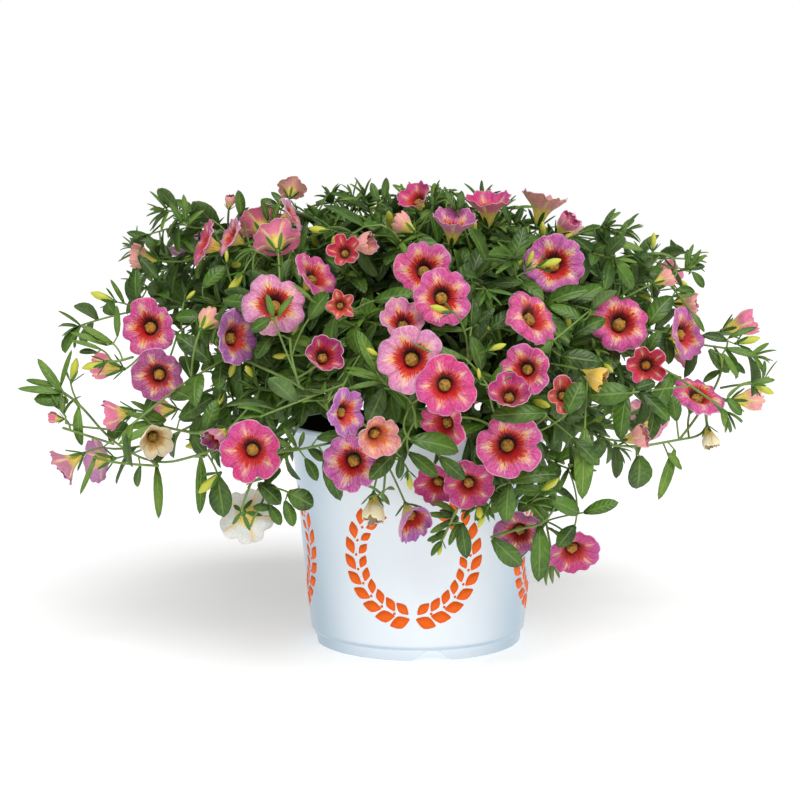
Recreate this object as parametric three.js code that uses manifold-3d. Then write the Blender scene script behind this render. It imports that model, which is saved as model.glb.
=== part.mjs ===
// A calibrachoa in full flower, growing in a round white pot.
//
// Frame: millimetres, +Z up, origin on the pot's axis at the underside of its foot, -Y to the front.
// The plant rises from the soil as eight leafy branches, one for each compass sector. Every branch
// forks into shoots, and every shoot carries whorls of leaves and ends in a rosette. The blooms are
// thick-walled five-lobed trumpets that sit on flower stalks, just clear of the calyx.

import * as THREE from 'three';
import { mergeVertices } from 'three/addons/utils/BufferGeometryUtils.js';
import Module from 'manifold-3d';

const wasm = await Module();
wasm.setup();
const { Manifold, Mesh: SolidMesh } = wasm;

// ---------------------------------------------------------------- driving dimensions, mm

const GAP = 0.3; // between pieces that touch
const SMALLEST_DETAIL = 0.06; // smaller ones are smoothed away where shoots join

const POT_HEIGHT = 147;
const POT_SIDES = 48;
const FOOT_HEIGHT = 7.2;
const FOOT_RADIUS = 70;
const FOOT_WALL = 3.2;
const WALL_BASE_RADIUS = 72.6;
const WALL_TOP_RADIUS = 85.8;
const WALL = 1.7;
const RIM_OVERHANG = 1.5;
const RIM_HEIGHT = 3.6;
const FLOOR_THICKNESS = 2;
const NOTCHES = 4; // drain notches in the foot ring
const NOTCH_TURN = -83; // degrees, where the front notch lies
const NOTCH_WIDTH_BELOW = 26;
const NOTCH_WIDTH_ABOVE = 8;
const DRAIN_HOLE_RADIUS = 4.5;
const DRAIN_HOLE_RING = 56;

const SOIL_TOP = 134;
const SOIL_CROWN = 2.5; // how far the middle of the soil stands above its edge
const SOIL_SIDES = 24;
const STEM_HOLE_DEPTH = 9;
const STEM_HOLE_RADIUS = 2.9;

const BRANCH_RING = 18; // radius of the circle on which the branches leave the soil
const BRANCH_RADIUS = 1.9;
const SHOOT_RADIUS = 1.3;
const SHOOT_TIP_RADIUS = 0.8;
const STALK_RADIUS = 0.75;
const STALK_BEND = 0.6; // the share of a flower stalk at which it bends
const SHORTEST_STALK = 9;

const LEAF_LENGTH = 27;
const LEAF_HALF_WIDTH = 4.9;
const LEAF_THICKNESS = 1.1;
const LEAF_ANGLE = 58; // degrees between a leaf and its shoot
const ROSETTE_ANGLE = 34;
const ROSETTE_LENGTH = 18;
const ROSETTE_HALF_WIDTH = 3;
const WHORL_HALF_HEIGHT = 0.7; // half the length of shoot that a whorl grows from
const WHORL_SPACING = 30;
const ROSETTE_FROM_TIP = 7;
const WHORL_FROM_TIP = 27;
const TIP_LENGTH = 6;
const LEAVED_SHARE = 0.6; // the outer share of a shoot that bears leaves
const ROOT_STRETCH = 25; // of a shoot, over which the bend around blooms sets in

const BLOOM_RADIUS = 17.5; // the radius at which the bloom's profile below is drawn
const CALYX_BASE = -19; // where the stalk ends, behind the limb
const CALYX_BASE_RADIUS = 1.2;
const SEAT_RADIUS = 2.5; // of the cup that holds the tube
const SEPAL_LENGTH = 9;
const SEPAL_SPREAD = 7.2;

// The canopy's reach from the pot's axis: to the sides, to the front and back, and its top.
const CANOPY_SIDE = 250;
const CANOPY_FRONT = 210;
const CANOPY_TOP = 306;
const CANOPY_WAIST = 150;
const CANOPY_FLOOR = 80;

// The viewpoint along whose lines of sight the front blooms are set out.
const EYE = new THREE.Vector3(-12, -1123, 276);

// ---------------------------------------------------------------- small maths

const UP = new THREE.Vector3(0, 0, 1);
const radians = THREE.MathUtils.degToRad;
const mix = THREE.MathUtils.lerp;
const smooth = THREE.MathUtils.smoothstep;

// A repeatable draw between low and high for each whole number.
function draw(seed, low, high) {
  const wave = Math.sin(seed * 12.9898 + 4.1414) * 43758.5453;
  return mix(low, high, wave - Math.floor(wave));
}

function polar(radius, turn, height) {
  return new THREE.Vector3(radius * Math.cos(turn), radius * Math.sin(turn), height);
}

function sum(start, ...terms) {
  const result = start.clone();
  for (const [direction, distance] of terms) result.addScaledVector(direction, distance);
  return result;
}

// ---------------------------------------------------------------- solids

// A faceted solid under construction: points, and triangles that turn anticlockwise seen from outside.
class Facets {
  points = [];
  corners = [];

  add(...points) {
    return points.map((point) => this.points.push(point) - 1);
  }

  fan(centre, loop) {
    loop.forEach((corner, i) => this.corners.push(centre, corner, loop[(i + 1) % loop.length]));
  }

  // The side between two rings that both turn anticlockwise seen from the upper one.
  band(lower, upper) {
    let i = 0;
    let j = 0;
    while (i < lower.length || j < upper.length) {
      const here = lower[i % lower.length];
      const above = upper[j % upper.length];
      if ((i + 1) / lower.length <= (j + 1) / upper.length) {
        i += 1;
        this.corners.push(here, lower[i % lower.length], above);
      } else {
        j += 1;
        this.corners.push(here, upper[j % upper.length], above);
      }
    }
  }

  solid() {
    const vertProperties = Float32Array.from(this.points.flatMap((point) => point.toArray()));
    const triVerts = Uint32Array.from(this.corners);
    return new Manifold(new SolidMesh({ numProp: 3, vertProperties, triVerts }));
  }
}

// A three.js geometry as a solid: shared points merged, collapsed triangles dropped, faces outward.
function solidOf(geometry) {
  const bare = geometry.clone();
  bare.deleteAttribute('normal');
  bare.deleteAttribute('uv');
  const merged = mergeVertices(bare, 1e-4);
  const index = [...merged.index.array];
  const facets = new Facets();
  const position = merged.attributes.position;
  for (let i = 0; i < position.count; i += 1) {
    facets.add(new THREE.Vector3().fromBufferAttribute(position, i));
  }
  for (let i = 0; i < index.length; i += 3) {
    const [a, b, c] = index.slice(i, i + 3);
    if (a !== b && b !== c && c !== a) facets.corners.push(a, b, c);
  }
  const solid = facets.solid();
  if (solid.volume() > 0) return solid;
  facets.corners.reverse();
  return facets.solid();
}

// A shape turned about the pot's axis, from [radius, height] pairs.
function turned(profile, sides) {
  const points = profile.map(([radius, height]) => new THREE.Vector2(radius, height));
  const geometry = new THREE.LatheGeometry(points, sides);
  geometry.rotateX(Math.PI / 2);
  return solidOf(geometry);
}

function rod(radius, bottom, top, x, y, sides = 8) {
  const geometry = new THREE.CylinderGeometry(radius, radius, top - bottom, sides);
  geometry.rotateX(Math.PI / 2);
  geometry.translate(x, y, (bottom + top) / 2);
  return solidOf(geometry);
}

function largestPiece(solid) {
  const pieces = solid.decompose();
  return pieces.reduce((best, piece) => (piece.volume() > best.volume() ? piece : best));
}

function meshOf(name, solid, material) {
  const { vertProperties, triVerts } = solid.getMesh();
  const geometry = new THREE.BufferGeometry();
  geometry.setAttribute('position', new THREE.BufferAttribute(Float32Array.from(vertProperties), 3));
  geometry.setIndex(new THREE.BufferAttribute(Uint32Array.from(triVerts), 1));
  geometry.computeVertexNormals();
  const mesh = new THREE.Mesh(geometry, material);
  mesh.name = name;
  return mesh;
}

// Boxes are compared first, so that only neighbours are cut against each other.
function touches(one, other) {
  const a = one.boundingBox();
  const b = other.boundingBox();
  const apart = [0, 1, 2].some((axis) => a.min[axis] > b.max[axis] || b.min[axis] > a.max[axis]);
  return !apart && !one.intersect(other).isEmpty();
}

// ---------------------------------------------------------------- materials

function finish(color, roughness) {
  return new THREE.MeshStandardMaterial({ color, roughness, metalness: 0 });
}

const WHITE_PLASTIC = finish('#e9eff5', 0.32);
const POTTING_SOIL = finish('#3b2a1e', 0.95);
const LEAF_GREEN = finish('#3f7331', 0.55);
const PINK_PETAL = finish('#dd5a98', 0.6);

// ---------------------------------------------------------------- pot and soil

const floorTop = FOOT_HEIGHT + FLOOR_THICKNESS;
const rimBase = POT_HEIGHT - RIM_HEIGHT;

function wallRadius(height) {
  return mix(WALL_BASE_RADIUS, WALL_TOP_RADIUS, (height - floorTop) / (rimBase - floorTop));
}

function makePot() {
  const rimRadius = WALL_TOP_RADIUS + RIM_OVERHANG;
  const mouth = WALL_TOP_RADIUS - WALL;
  const profile = [
    [0, FOOT_HEIGHT],
    [FOOT_RADIUS - FOOT_WALL, FOOT_HEIGHT],
    [FOOT_RADIUS - FOOT_WALL, 0],
    [FOOT_RADIUS, 0],
    [FOOT_RADIUS + 0.6, FOOT_HEIGHT],
    [WALL_BASE_RADIUS, floorTop],
    [WALL_TOP_RADIUS, rimBase],
    [rimRadius, rimBase + 0.6],
    [rimRadius - 0.3, POT_HEIGHT],
    [mouth, POT_HEIGHT],
    [mouth, rimBase],
    [WALL_BASE_RADIUS - WALL, floorTop],
    [0, floorTop],
  ];
  let pot = turned(profile, POT_SIDES);
  for (let i = 0; i < NOTCHES; i += 1) {
    const turn = radians(NOTCH_TURN + (i * 360) / NOTCHES);
    pot = pot.subtract(drainNotch(turn));
    const centre = polar(DRAIN_HOLE_RING, turn, 0);
    pot = pot.subtract(rod(DRAIN_HOLE_RADIUS, FOOT_HEIGHT - 1, floorTop + 1, centre.x, centre.y));
  }
  return pot;
}

// A trapezoid through the foot ring, wide below and narrow above.
function drainNotch(turn) {
  const outline = new THREE.Shape();
  outline.moveTo(-NOTCH_WIDTH_BELOW / 2, -1);
  outline.lineTo(NOTCH_WIDTH_BELOW / 2, -1);
  outline.lineTo(NOTCH_WIDTH_ABOVE / 2, FOOT_HEIGHT - 0.6);
  outline.lineTo(-NOTCH_WIDTH_ABOVE / 2, FOOT_HEIGHT - 0.6);
  const geometry = new THREE.ExtrudeGeometry(outline, { depth: 16, bevelEnabled: false });
  geometry.rotateX(Math.PI / 2); // the outline stands upright, its depth runs to -Y
  geometry.translate(0, -FOOT_RADIUS + FOOT_WALL + 6, 0);
  geometry.rotateZ(turn + Math.PI / 2);
  return solidOf(geometry);
}

function makeSoil(bases) {
  const clearance = WALL + GAP;
  const bottom = floorTop + GAP;
  const edgeTop = SOIL_TOP - SOIL_CROWN;
  const profile = [
    [0, bottom],
    [wallRadius(bottom) - clearance, bottom],
    [wallRadius(edgeTop) - clearance, edgeTop],
    [wallRadius(edgeTop) * 0.55, SOIL_TOP - 0.4],
    [0, SOIL_TOP],
  ];
  const soil = turned(profile, SOIL_SIDES);
  return bases.reduce((rest, base) => {
    const hole = rod(STEM_HOLE_RADIUS, SOIL_TOP - STEM_HOLE_DEPTH, SOIL_TOP + 5, base.x, base.y, 6);
    return rest.subtract(hole);
  }, soil);
}

// ---------------------------------------------------------------- where the blooms are

// Front blooms: [across, height, depth, yaw, pitch, radius]. Across and height are where the line of
// sight from EYE through the bloom passes the plane of the pot's axis. Depth is how far in front of
// that plane the bloom stands. Yaw turns its face to the right and pitch turns it up, in degrees.
const LARGE_BLOOMS = [
  [-182, 211, 60, -10, 5, 18],
  [-176, 178, 84, -5, -5, 17],
  [-113, 127, 150, -3, 0, 18],
  [-96, 228, 132, 10, 35, 18.5],
  [-121, 204, 118, 50, 5, 17],
  [-63, 192, 172, -20, 12, 13],
  [-49, 262, 138, 0, 20, 11],
  [-52, 226, 165, 5, 10, 9.5],
  [-47, 153, 186, 50, 0, 14],
  [-45, 119, 163, -10, -5, 17.5],
  [-27, 137, 184, 22, -12, 14],
  [-3, 78, 128, 20, -35, 15],
  [4, 250, 136, 0, 15, 17],
  [17, 231, 166, 8, 5, 17],
  [-5, 189, 186, -6, 2, 19],
  [-10, 216, 160, 0, 40, 15],
  [19, 171, 206, 4, -2, 17],
  [16, 145, 180, -40, -10, 15],
  [62, 130, 176, 5, 0, 19],
  [35, 103, 152, 0, -15, 15],
  [13, 103, 132, -12, -25, 14],
  [80, 220, 150, -25, -15, 17],
  [92, 254, 104, 5, 10, 19],
  [137, 216, 92, 0, 0, 19],
  [154, 185, 104, -5, 0, 14],
  [72, 182, 168, -20, 0, 15],
  [62, 167, 194, 0, 40, 14],
  [182, 205, 54, 62, 5, 15],
  [191, 168, 62, 30, 35, 16],
  [107, 56, 112, 10, -30, 17],
  [69, 70, 118, -10, -20, 15],
  [-240, 117, 56, -70, -30, 15],
  [-206, 152, 62, -85, -10, 14],
  [-106, 282, 46, -150, 45, 16],
  [-145, 268, 62, -70, 20, 16],
  [-2, 298, 52, 0, 50, 13],
];

// Smaller, half-open, wilted or half-hidden blooms, in the same six terms.
const SMALL_BLOOMS = [
  [-30, 85, 126, 0, -60, 11],
  [99, 165, 160, 10, 10, 9],
  [-178, 135, 78, -20, 0, 10],
  [-115, 82, 122, 150, -55, 15],
  [198, 134, 44, 20, -65, 9],
  [-83, 287, 66, 80, 30, 12],
  [-84, 304, 4, 170, 45, 10],
  [-127, 272, 66, -120, 30, 12],
  [-186, 258, 24, -100, 10, 14],
  [47, 294, 44, 0, 75, 15],
  [18, 284, 88, 60, 30, 12],
  [100, 281, 34, 50, 40, 12],
  [-35, 267, 118, 60, 10, 12],
  [-74, 254, 122, -20, 10, 12],
  [183, 227, 26, 80, 0, 12],
  [150, 137, 104, 150, -10, 12],
  [121, 180, 128, 20, -50, 9],
  [-141, 216, 110, -20, 5, 13],
  [166, 244, 46, 20, 10, 12],
  [-137, 136, 138, -35, -20, 12],
];

// Back blooms are spread over the canopy by the golden ratio, largest first.
const BACK_BLOOMS = 28;
const BACK_BLOOM_NODES = 14;
const GOLDEN = 0.618034;

function facing(turn, pitch) {
  return polar(Math.cos(pitch), turn, Math.sin(pitch));
}

// Where the line from EYE through (across, 0, height) stands at the given depth in front of the axis.
function sightPoint(across, height, depth) {
  const target = new THREE.Vector3(across, 0, height);
  return EYE.clone().lerp(target, 1 + depth / EYE.y);
}

function frontBloom([across, height, depth, yaw, pitch, radius]) {
  return {
    centre: sightPoint(across, height, depth),
    facing: facing(radians(yaw - 90), radians(pitch)),
    radius,
  };
}

// The canopy's outer radius at a turn about the axis and a height.
function canopyRadius(turn, height) {
  const plan = 1 / Math.hypot(Math.cos(turn) / CANOPY_SIDE, Math.sin(turn) / CANOPY_FRONT);
  const half = height > CANOPY_WAIST ? CANOPY_TOP - CANOPY_WAIST : (CANOPY_WAIST - CANOPY_FLOOR) * 1.35;
  return plan * Math.sqrt(Math.max(0, 1 - ((height - CANOPY_WAIST) / half) ** 2));
}

function backBloom(index) {
  const share = (index + 0.5) / BACK_BLOOMS;
  const turn = radians(mix(2, 178, (index * GOLDEN + 0.35) % 1));
  const height = mix(100, 298, share ** 0.85);
  const pitch = radians(mix(-25, 70, share) + draw(index, -12, 12));
  return {
    centre: polar(canopyRadius(turn, height) - 6, turn, height),
    facing: facing(turn + radians(draw(index + 50, -28, 28)), pitch),
    radius: draw(index + 90, 15, 18.5),
  };
}

const backBlooms = Array.from({ length: BACK_BLOOMS }, (_, index) => backBloom((index * 11) % BACK_BLOOMS));
const ownBlooms = [...LARGE_BLOOMS.map(frontBloom), ...backBlooms.slice(0, BACK_BLOOM_NODES)];
const fusedBlooms = [...SMALL_BLOOMS.map(frontBloom), ...backBlooms.slice(BACK_BLOOM_NODES)];
const allBlooms = [...ownBlooms, ...fusedBlooms];

// ---------------------------------------------------------------- blooms

const LOBES = 5;
const TUBE_END = -15; // where the tube ends, behind the limb

// A lobe's edge runs from the valley beside it over its shoulders: [share of a lobe, radius, rise].
const FULL_LOBE = [
  [0, 14.6, -1.4],
  [0.32, 17.6, 0.4],
  [0.68, 17.6, 0.2],
];
const PLAIN_LOBE = [
  [0, 14.4, -1.4],
  [0.5, 17.6, 0.6],
];

// A point in the bloom's own round frame: z runs along its facing from the middle of its limb.
function bloomPoint(bloom, radius, turn, along) {
  const x = new THREE.Vector3().crossVectors(UP, bloom.facing).normalize();
  const y = new THREE.Vector3().crossVectors(bloom.facing, x);
  const scale = bloom.radius / BLOOM_RADIUS;
  const across = [x, radius * Math.cos(turn) * scale];
  return sum(bloom.centre, across, [y, radius * Math.sin(turn) * scale], [bloom.facing, along * scale]);
}

function bloomRim(facets, bloom, lobeEdge) {
  const ring = [];
  for (let lobe = 0; lobe < LOBES; lobe += 1) {
    for (const [share, radius, rise] of lobeEdge) {
      const turn = ((lobe + share) * 2 * Math.PI) / LOBES;
      ring.push(...facets.add(bloomPoint(bloom, radius, turn, rise)));
    }
  }
  return ring;
}

function bloomRing(facets, bloom, radius, along) {
  return bloomRim(facets, bloom, [[0, radius, along]]);
}

function bloomSolid(bloom) {
  const facets = new Facets();
  const end = bloomRing(facets, bloom, 2.1, TUBE_END);
  const waist = bloomRing(facets, bloom, 4.6, -6.6);
  const rim = bloomRim(facets, bloom, FULL_LOBE);
  const throat = bloomRing(facets, bloom, 4.2, -3.6);
  facets.fan(facets.add(bloomPoint(bloom, 0, 0, TUBE_END))[0], [...end].reverse());
  facets.band(end, waist);
  facets.band(waist, rim);
  facets.band(rim, throat);
  facets.fan(facets.add(bloomPoint(bloom, 0, 0, -10.5))[0], throat);
  return facets.solid();
}

// ---------------------------------------------------------------- shoots

// Each branch's shoots: [turn from the sector's middle, reach, tip height, rise, fall]. The first one
// stands in the soil and the others leave it a little higher. Rise and fall are the heights of the
// two control points that lift a shoot over the rim and let it arch down again.
const BRANCHES = {
  front: [
    [10, 50, 300, 230, 280],
    [-12, 118, 282, 240, 280],
    [14, 162, 240, 240, 255],
    [-14, 200, 178, 240, 215],
    [-9, 146, 104, 250, 215],
    [15, 138, 112, 250, 215],
  ],
  front_right: [
    [-8, 60, 297, 230, 280],
    [12, 140, 278, 240, 275],
    [-14, 186, 230, 240, 250],
    [12, 222, 166, 240, 210],
    [-6, 133, 66, 250, 210],
  ],
  right: [
    [10, 60, 292, 230, 275],
    [-12, 140, 276, 240, 272],
    [8, 190, 256, 240, 262],
    [-12, 224, 194, 235, 215],
    [14, 274, 172, 250, 110],
  ],
  back_right: [
    [-10, 55, 299, 230, 282],
    [12, 150, 282, 240, 280],
    [-13, 196, 234, 240, 252],
    [11, 226, 172, 240, 212],
    [-2, 212, 110, 250, 140],
  ],
  back: [
    [12, 50, 302, 230, 285],
    [-12, 125, 286, 240, 284],
    [13, 176, 244, 240, 258],
    [-14, 200, 182, 240, 218],
    [1, 196, 112, 250, 150],
  ],
  back_left: [
    [9, 56, 300, 230, 282],
    [-12, 148, 286, 240, 284],
    [13, 198, 236, 240, 254],
    [-12, 226, 176, 240, 214],
    [1, 214, 114, 250, 140],
  ],
  left: [
    [-10, 60, 298, 230, 280],
    [12, 170, 288, 245, 292],
    [-8, 196, 264, 240, 275],
    [5, 228, 212, 240, 235],
    [14, 251, 165, 250, 66],
  ],
  front_left: [
    [9, 60, 299, 230, 282],
    [-12, 150, 284, 240, 282],
    [12, 190, 232, 240, 250],
    [-6, 222, 160, 240, 204],
    [9, 172, 100, 250, 160],
  ],
};

const SECTORS = Object.keys(BRANCHES);
const SECTOR_WIDTH = 360 / SECTORS.length;
const FORK_HEIGHT = 14; // how far up the first shoot the next one leaves it, and the step between them
const FORK_STEP = 7;

const sectorTurn = (sector) => radians(sector * SECTOR_WIDTH - 90);

// The sector in which a point lies.
function sectorOf(point) {
  const turn = THREE.MathUtils.radToDeg(Math.atan2(point.y, point.x)) + 90;
  return THREE.MathUtils.euclideanModulo(Math.round(turn / SECTOR_WIDTH), SECTORS.length);
}

// Moves a point of a shoot back behind each bloom that the shoot would run through.
function bentClear(point) {
  const moved = point.clone();
  for (const bloom of allBlooms) {
    const offset = moved.clone().sub(bloom.centre);
    const along = offset.dot(bloom.facing);
    const across = offset.addScaledVector(bloom.facing, -along).length();
    const behind = (mix(22, 9, smooth(across, 4, 11)) * bloom.radius) / BLOOM_RADIUS;
    const near = (1 - smooth(across, bloom.radius + 3, bloom.radius * 1.8)) * (1 - smooth(along, 22, 40));
    moved.addScaledVector(bloom.facing, -near * Math.max(0, along + behind));
  }
  return moved;
}

// The corners of a three-sided section, square to the direction and turned from the side by the twist.
function section(centre, direction, side, radius, twist) {
  const across = sum(side, [direction, -side.dot(direction)]).normalize();
  const over = new THREE.Vector3().crossVectors(direction, across);
  return [0, 1, 2].map((corner) => {
    const turn = twist + (corner * 2 * Math.PI) / 3;
    return sum(centre, [across, radius * Math.cos(turn)], [over, radius * Math.sin(turn)]);
  });
}

// A shoot runs straight between its stations: its root, its bare middle, its whorls and its tip.
class Shoot {
  constructor(sector, index, start) {
    const [turn, reach, tipHeight, rise, fall] = BRANCHES[SECTORS[sector]][index];
    const tip = polar(reach, sectorTurn(sector) + radians(turn), tipHeight);
    const first = start.clone().lerp(tip, index === 0 ? 0 : 0.3).setZ(rise);
    const second = start.clone().lerp(tip, 0.68).setZ(fall);
    this.curve = new THREE.CubicBezierCurve3(start, first, second, tip);
    this.side = new THREE.Vector3().crossVectors(tip.clone().sub(start), UP).normalize();
    this.length = this.curve.getLength();
    this.sector = sector;
    this.index = index;
    this.seed = sector * 1000 + index * 100;
    this.startRadius = index === 0 ? BRANCH_RADIUS : SHOOT_RADIUS;
    this.bareMiddle = (this.length * (1 - LEAVED_SHARE)) / 2;
    this.whorls = this.placeWhorls();
  }

  // The whorls from the root to the tip, each with a face on three sides that something can grow
  // from. Leaves of successive whorls stand over each other's gaps. The last whorl is a rosette.
  placeWhorls() {
    const distances = [this.length - ROSETTE_FROM_TIP];
    const first = this.length * (1 - LEAVED_SHARE);
    for (let place = this.length - WHORL_FROM_TIP; place > first; place -= WHORL_SPACING) {
      distances.unshift(place);
    }
    return distances.map((distance, number) => {
      const [centre, direction] = [this.at(distance), this.direction(distance)];
      const twist = (number % 2) * radians(60) + draw(this.seed + number, -0.2, 0.2);
      const [lower, upper] = [-WHORL_HALF_HEIGHT, WHORL_HALF_HEIGHT].map((step) =>
        section(sum(centre, [direction, step]), direction, this.side, this.radius(distance), twist),
      );
      const faces = [0, 1, 2].map((i) => [lower[i], lower[(i + 1) % 3], upper[(i + 1) % 3], upper[i]]);
      const rosette = number === distances.length - 1;
      return { number, direction, lower, upper, faces, rosette, growths: [] };
    });
  }

  // The root stays where it is, and the bend sets in over the first stretch.
  at(distance) {
    const point = this.curve.getPointAt(THREE.MathUtils.clamp(distance / this.length, 0, 1));
    return point.clone().lerp(bentClear(point), smooth(distance, 0, ROOT_STRETCH));
  }

  direction(distance) {
    return this.at(distance + 3).sub(this.at(distance - 3)).normalize();
  }

  radius(distance) {
    return mix(this.startRadius, SHOOT_TIP_RADIUS, Math.sqrt(distance / this.length));
  }

  // A point on the straight stretch between the root and the bare middle.
  forkPoint(distance) {
    return this.at(0).lerp(this.at(this.bareMiddle), distance / this.bareMiddle);
  }

  solid() {
    const facets = new Facets();
    const ringAt = (distance) => {
      const [centre, direction] = [this.at(distance), this.direction(distance)];
      return facets.add(...section(centre, direction, this.side, this.radius(distance), 0));
    };
    const root = ringAt(0);
    let below = ringAt(this.bareMiddle);
    facets.corners.push(root[0], root[2], root[1]);
    facets.band(root, below);
    for (const { lower, upper, growths } of this.whorls) {
      const lowerRing = facets.add(...lower);
      const upperRing = facets.add(...upper);
      facets.band(below, lowerRing);
      [0, 1, 2].forEach((i) => {
        const next = (i + 1) % 3;
        const [a, b, c, d] = [lowerRing[i], lowerRing[next], upperRing[next], upperRing[i]];
        if (growths[i]) growths[i](facets, [a, b, c, d]);
        else facets.corners.push(a, b, c, a, c, d);
      });
      below = upperRing;
    }
    const tip = sum(this.at(this.length), [this.direction(this.length), TIP_LENGTH]);
    facets.fan(facets.add(tip)[0], below);
    return facets.solid();
  }
}

// ---------------------------------------------------------------- what grows from a face of a whorl

// Every growth replaces a face abcd of its shoot's side, a and b below, c and d above, a and d to the
// left. On its own, closed at the face, it is a solid that tests whether there is room for it.
function growthAlone(face, grow) {
  const facets = new Facets();
  const [a, b, c, d] = facets.add(...face);
  grow(facets, [a, b, c, d]);
  facets.corners.push(b, a, d, d, c, b);
  return facets.solid();
}

function middleOf(face) {
  return face.reduce((total, corner) => total.add(corner), new THREE.Vector3()).divideScalar(face.length);
}

function outwardOf(face) {
  const [a, b, , d] = face;
  return new THREE.Vector3().crossVectors(b.clone().sub(a), d.clone().sub(a)).normalize();
}

// Leaf outlines as [share of the length, share of the half width].
const BROAD_LEAF = [
  [0.3, 0.85],
  [0.68, 0.95],
];
const NARROW_LEAF = [[0.5, 1]];

// A leaf that heads away from the face and forward along the shoot, and droops a little to its tip.
function leafOn(face, whorl, seed) {
  const { direction, rosette } = whorl;
  const angle = radians((rosette ? ROSETTE_ANGLE : LEAF_ANGLE) + draw(seed, -12, 12));
  const heading = sum(direction.clone().multiplyScalar(Math.cos(angle)), [outwardOf(face), Math.sin(angle)]);
  const side = face[1].clone().sub(face[0]).normalize();
  return {
    root: middleOf(face),
    heading,
    side,
    over: new THREE.Vector3().crossVectors(heading, side),
    length: (rosette ? ROSETTE_LENGTH : LEAF_LENGTH) * draw(seed + 1, 0.85, 1.12),
    halfWidth: (rosette ? ROSETTE_HALF_WIDTH : LEAF_HALF_WIDTH) * draw(seed + 2, 0.88, 1.1),
    thickness: LEAF_THICKNESS,
    droop: draw(seed + 3, 0.05, 0.3),
    outline: rosette ? NARROW_LEAF : BROAD_LEAF,
  };
}

// The blade is a thin closed form whose edges fold up a little from its midrib.
function growLeaf(facets, [a, b, c, d], leaf) {
  const point = (share, side, lift) =>
    sum(
      leaf.root,
      [leaf.heading, share * leaf.length],
      [leaf.side, side * leaf.halfWidth],
      [leaf.over, lift + Math.abs(side) * leaf.halfWidth * 0.25],
      [UP, -leaf.droop * share * share * leaf.length],
    );
  const left = facets.add(...leaf.outline.map(([share, side]) => point(share, -side, 0)));
  const right = facets.add(...leaf.outline.map(([share, side]) => point(share, side, 0)));
  const half = leaf.thickness / 2;
  const [tip, ridge, keel] = facets.add(point(1, 0, 0), point(0.45, 0, half), point(0.45, 0, -half));
  facets.fan(ridge, [d, ...left, tip, ...[...right].reverse(), c]);
  facets.fan(keel, [b, ...right, tip, ...[...left].reverse(), a]);
  facets.corners.push(d, a, left[0], b, c, right[0]);
}

// The ring's corners, counted from the one that lies nearest to the first corner of another ring.
function alignedWith(facets, ring, other) {
  const distances = ring.map((corner) => facets.points[corner].distanceTo(facets.points[other[0]]));
  const nearest = distances.indexOf(Math.min(...distances));
  return ring.map((_, i) => ring[(i + nearest) % ring.length]);
}

// A flower stalk arches from its face towards the bloom's back, with one ring where it bends.
function growStalk(facets, corners, bloom) {
  const face = corners.map((corner) => facets.points[corner]);
  const start = middleOf(face);
  const back = bloomPoint(bloom, 0, 0, CALYX_BASE);
  const bend = start.clone().lerp(back, 0.5).lerp(bloomPoint(bloom, 0, 0, 2 * CALYX_BASE), 0.45);
  const middle = new THREE.QuadraticBezierCurve3(start, bend, back).getPoint(STALK_BEND);
  const direction = back.clone().sub(middle).normalize();
  const side = face[1].clone().sub(face[0]);
  const ring = facets.add(...section(middle, direction, side, STALK_RADIUS, 0));
  const bent = alignedWith(facets, ring, corners);
  facets.band(corners, bent);
  return bent;
}

// A stalk with a calyx of five narrow sepals, whose end is the seat of a bloom's tube.
function growCalyx(facets, corners, bloom) {
  const scale = bloom.radius / BLOOM_RADIUS;
  const below = growStalk(facets, corners, bloom);
  const base = alignedWith(facets, bloomRing(facets, bloom, CALYX_BASE_RADIUS, CALYX_BASE), below);
  facets.band(below, base);
  const seatPlace = TUBE_END - GAP / scale;
  const seat = alignedWith(facets, bloomRing(facets, bloom, SEAT_RADIUS, seatPlace), base);
  const [back, end] = [CALYX_BASE, CALYX_BASE + SEPAL_LENGTH].map((along) => bloomPoint(bloom, 0, 0, along));
  base.forEach((corner, i) => {
    const next = (i + 1) % LOBES;
    const root = middleOf([base[i], base[next]].map((each) => facets.points[each]));
    const outward = root.sub(back).normalize();
    const [sepal] = facets.add(sum(end, [outward, SEPAL_SPREAD * scale]));
    facets.fan(sepal, [corner, base[next], seat[next], seat[i]]);
  });
  facets.fan(facets.add(bloomPoint(bloom, 0, 0, seatPlace))[0], seat);
}

// A stalk that widens into a small bloom, all in one piece.
function growSmallBloom(facets, corners, bloom) {
  const below = growStalk(facets, corners, bloom);
  const waist = alignedWith(facets, bloomRing(facets, bloom, 3.6, -9), below);
  const rim = alignedWith(facets, bloomRim(facets, bloom, PLAIN_LOBE), waist);
  facets.band(below, waist);
  facets.band(waist, rim);
  facets.fan(facets.add(bloomPoint(bloom, 0, 0, -7))[0], rim);
}

// A bud stands forward of its face: [distance from the face, radius].
const BUD = [
  [15, 2],
  [19, 1.7],
];
const BUD_TIP = 22;

function growBud(facets, corners, direction) {
  const face = corners.map((corner) => facets.points[corner]);
  const heading = sum(outwardOf(face), [direction, 1.2]).normalize();
  const side = face[1].clone().sub(face[0]);
  let below = corners;
  for (const [distance, radius] of BUD) {
    const centre = sum(middleOf(face), [heading, distance]);
    const ring = alignedWith(facets, facets.add(...section(centre, heading, side, radius, 0)), below);
    facets.band(below, ring);
    below = ring;
  }
  facets.fan(facets.add(sum(middleOf(face), [heading, BUD_TIP]))[0], below);
}

// ---------------------------------------------------------------- assembly

const rootHeight = SOIL_TOP - STEM_HOLE_DEPTH + GAP;
const bases = SECTORS.map((_, sector) => polar(BRANCH_RING, sectorTurn(sector), rootHeight));
const pot = makePot();
const soil = makeSoil(bases);
const bloomSolids = ownBlooms.map(bloomSolid);

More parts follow.
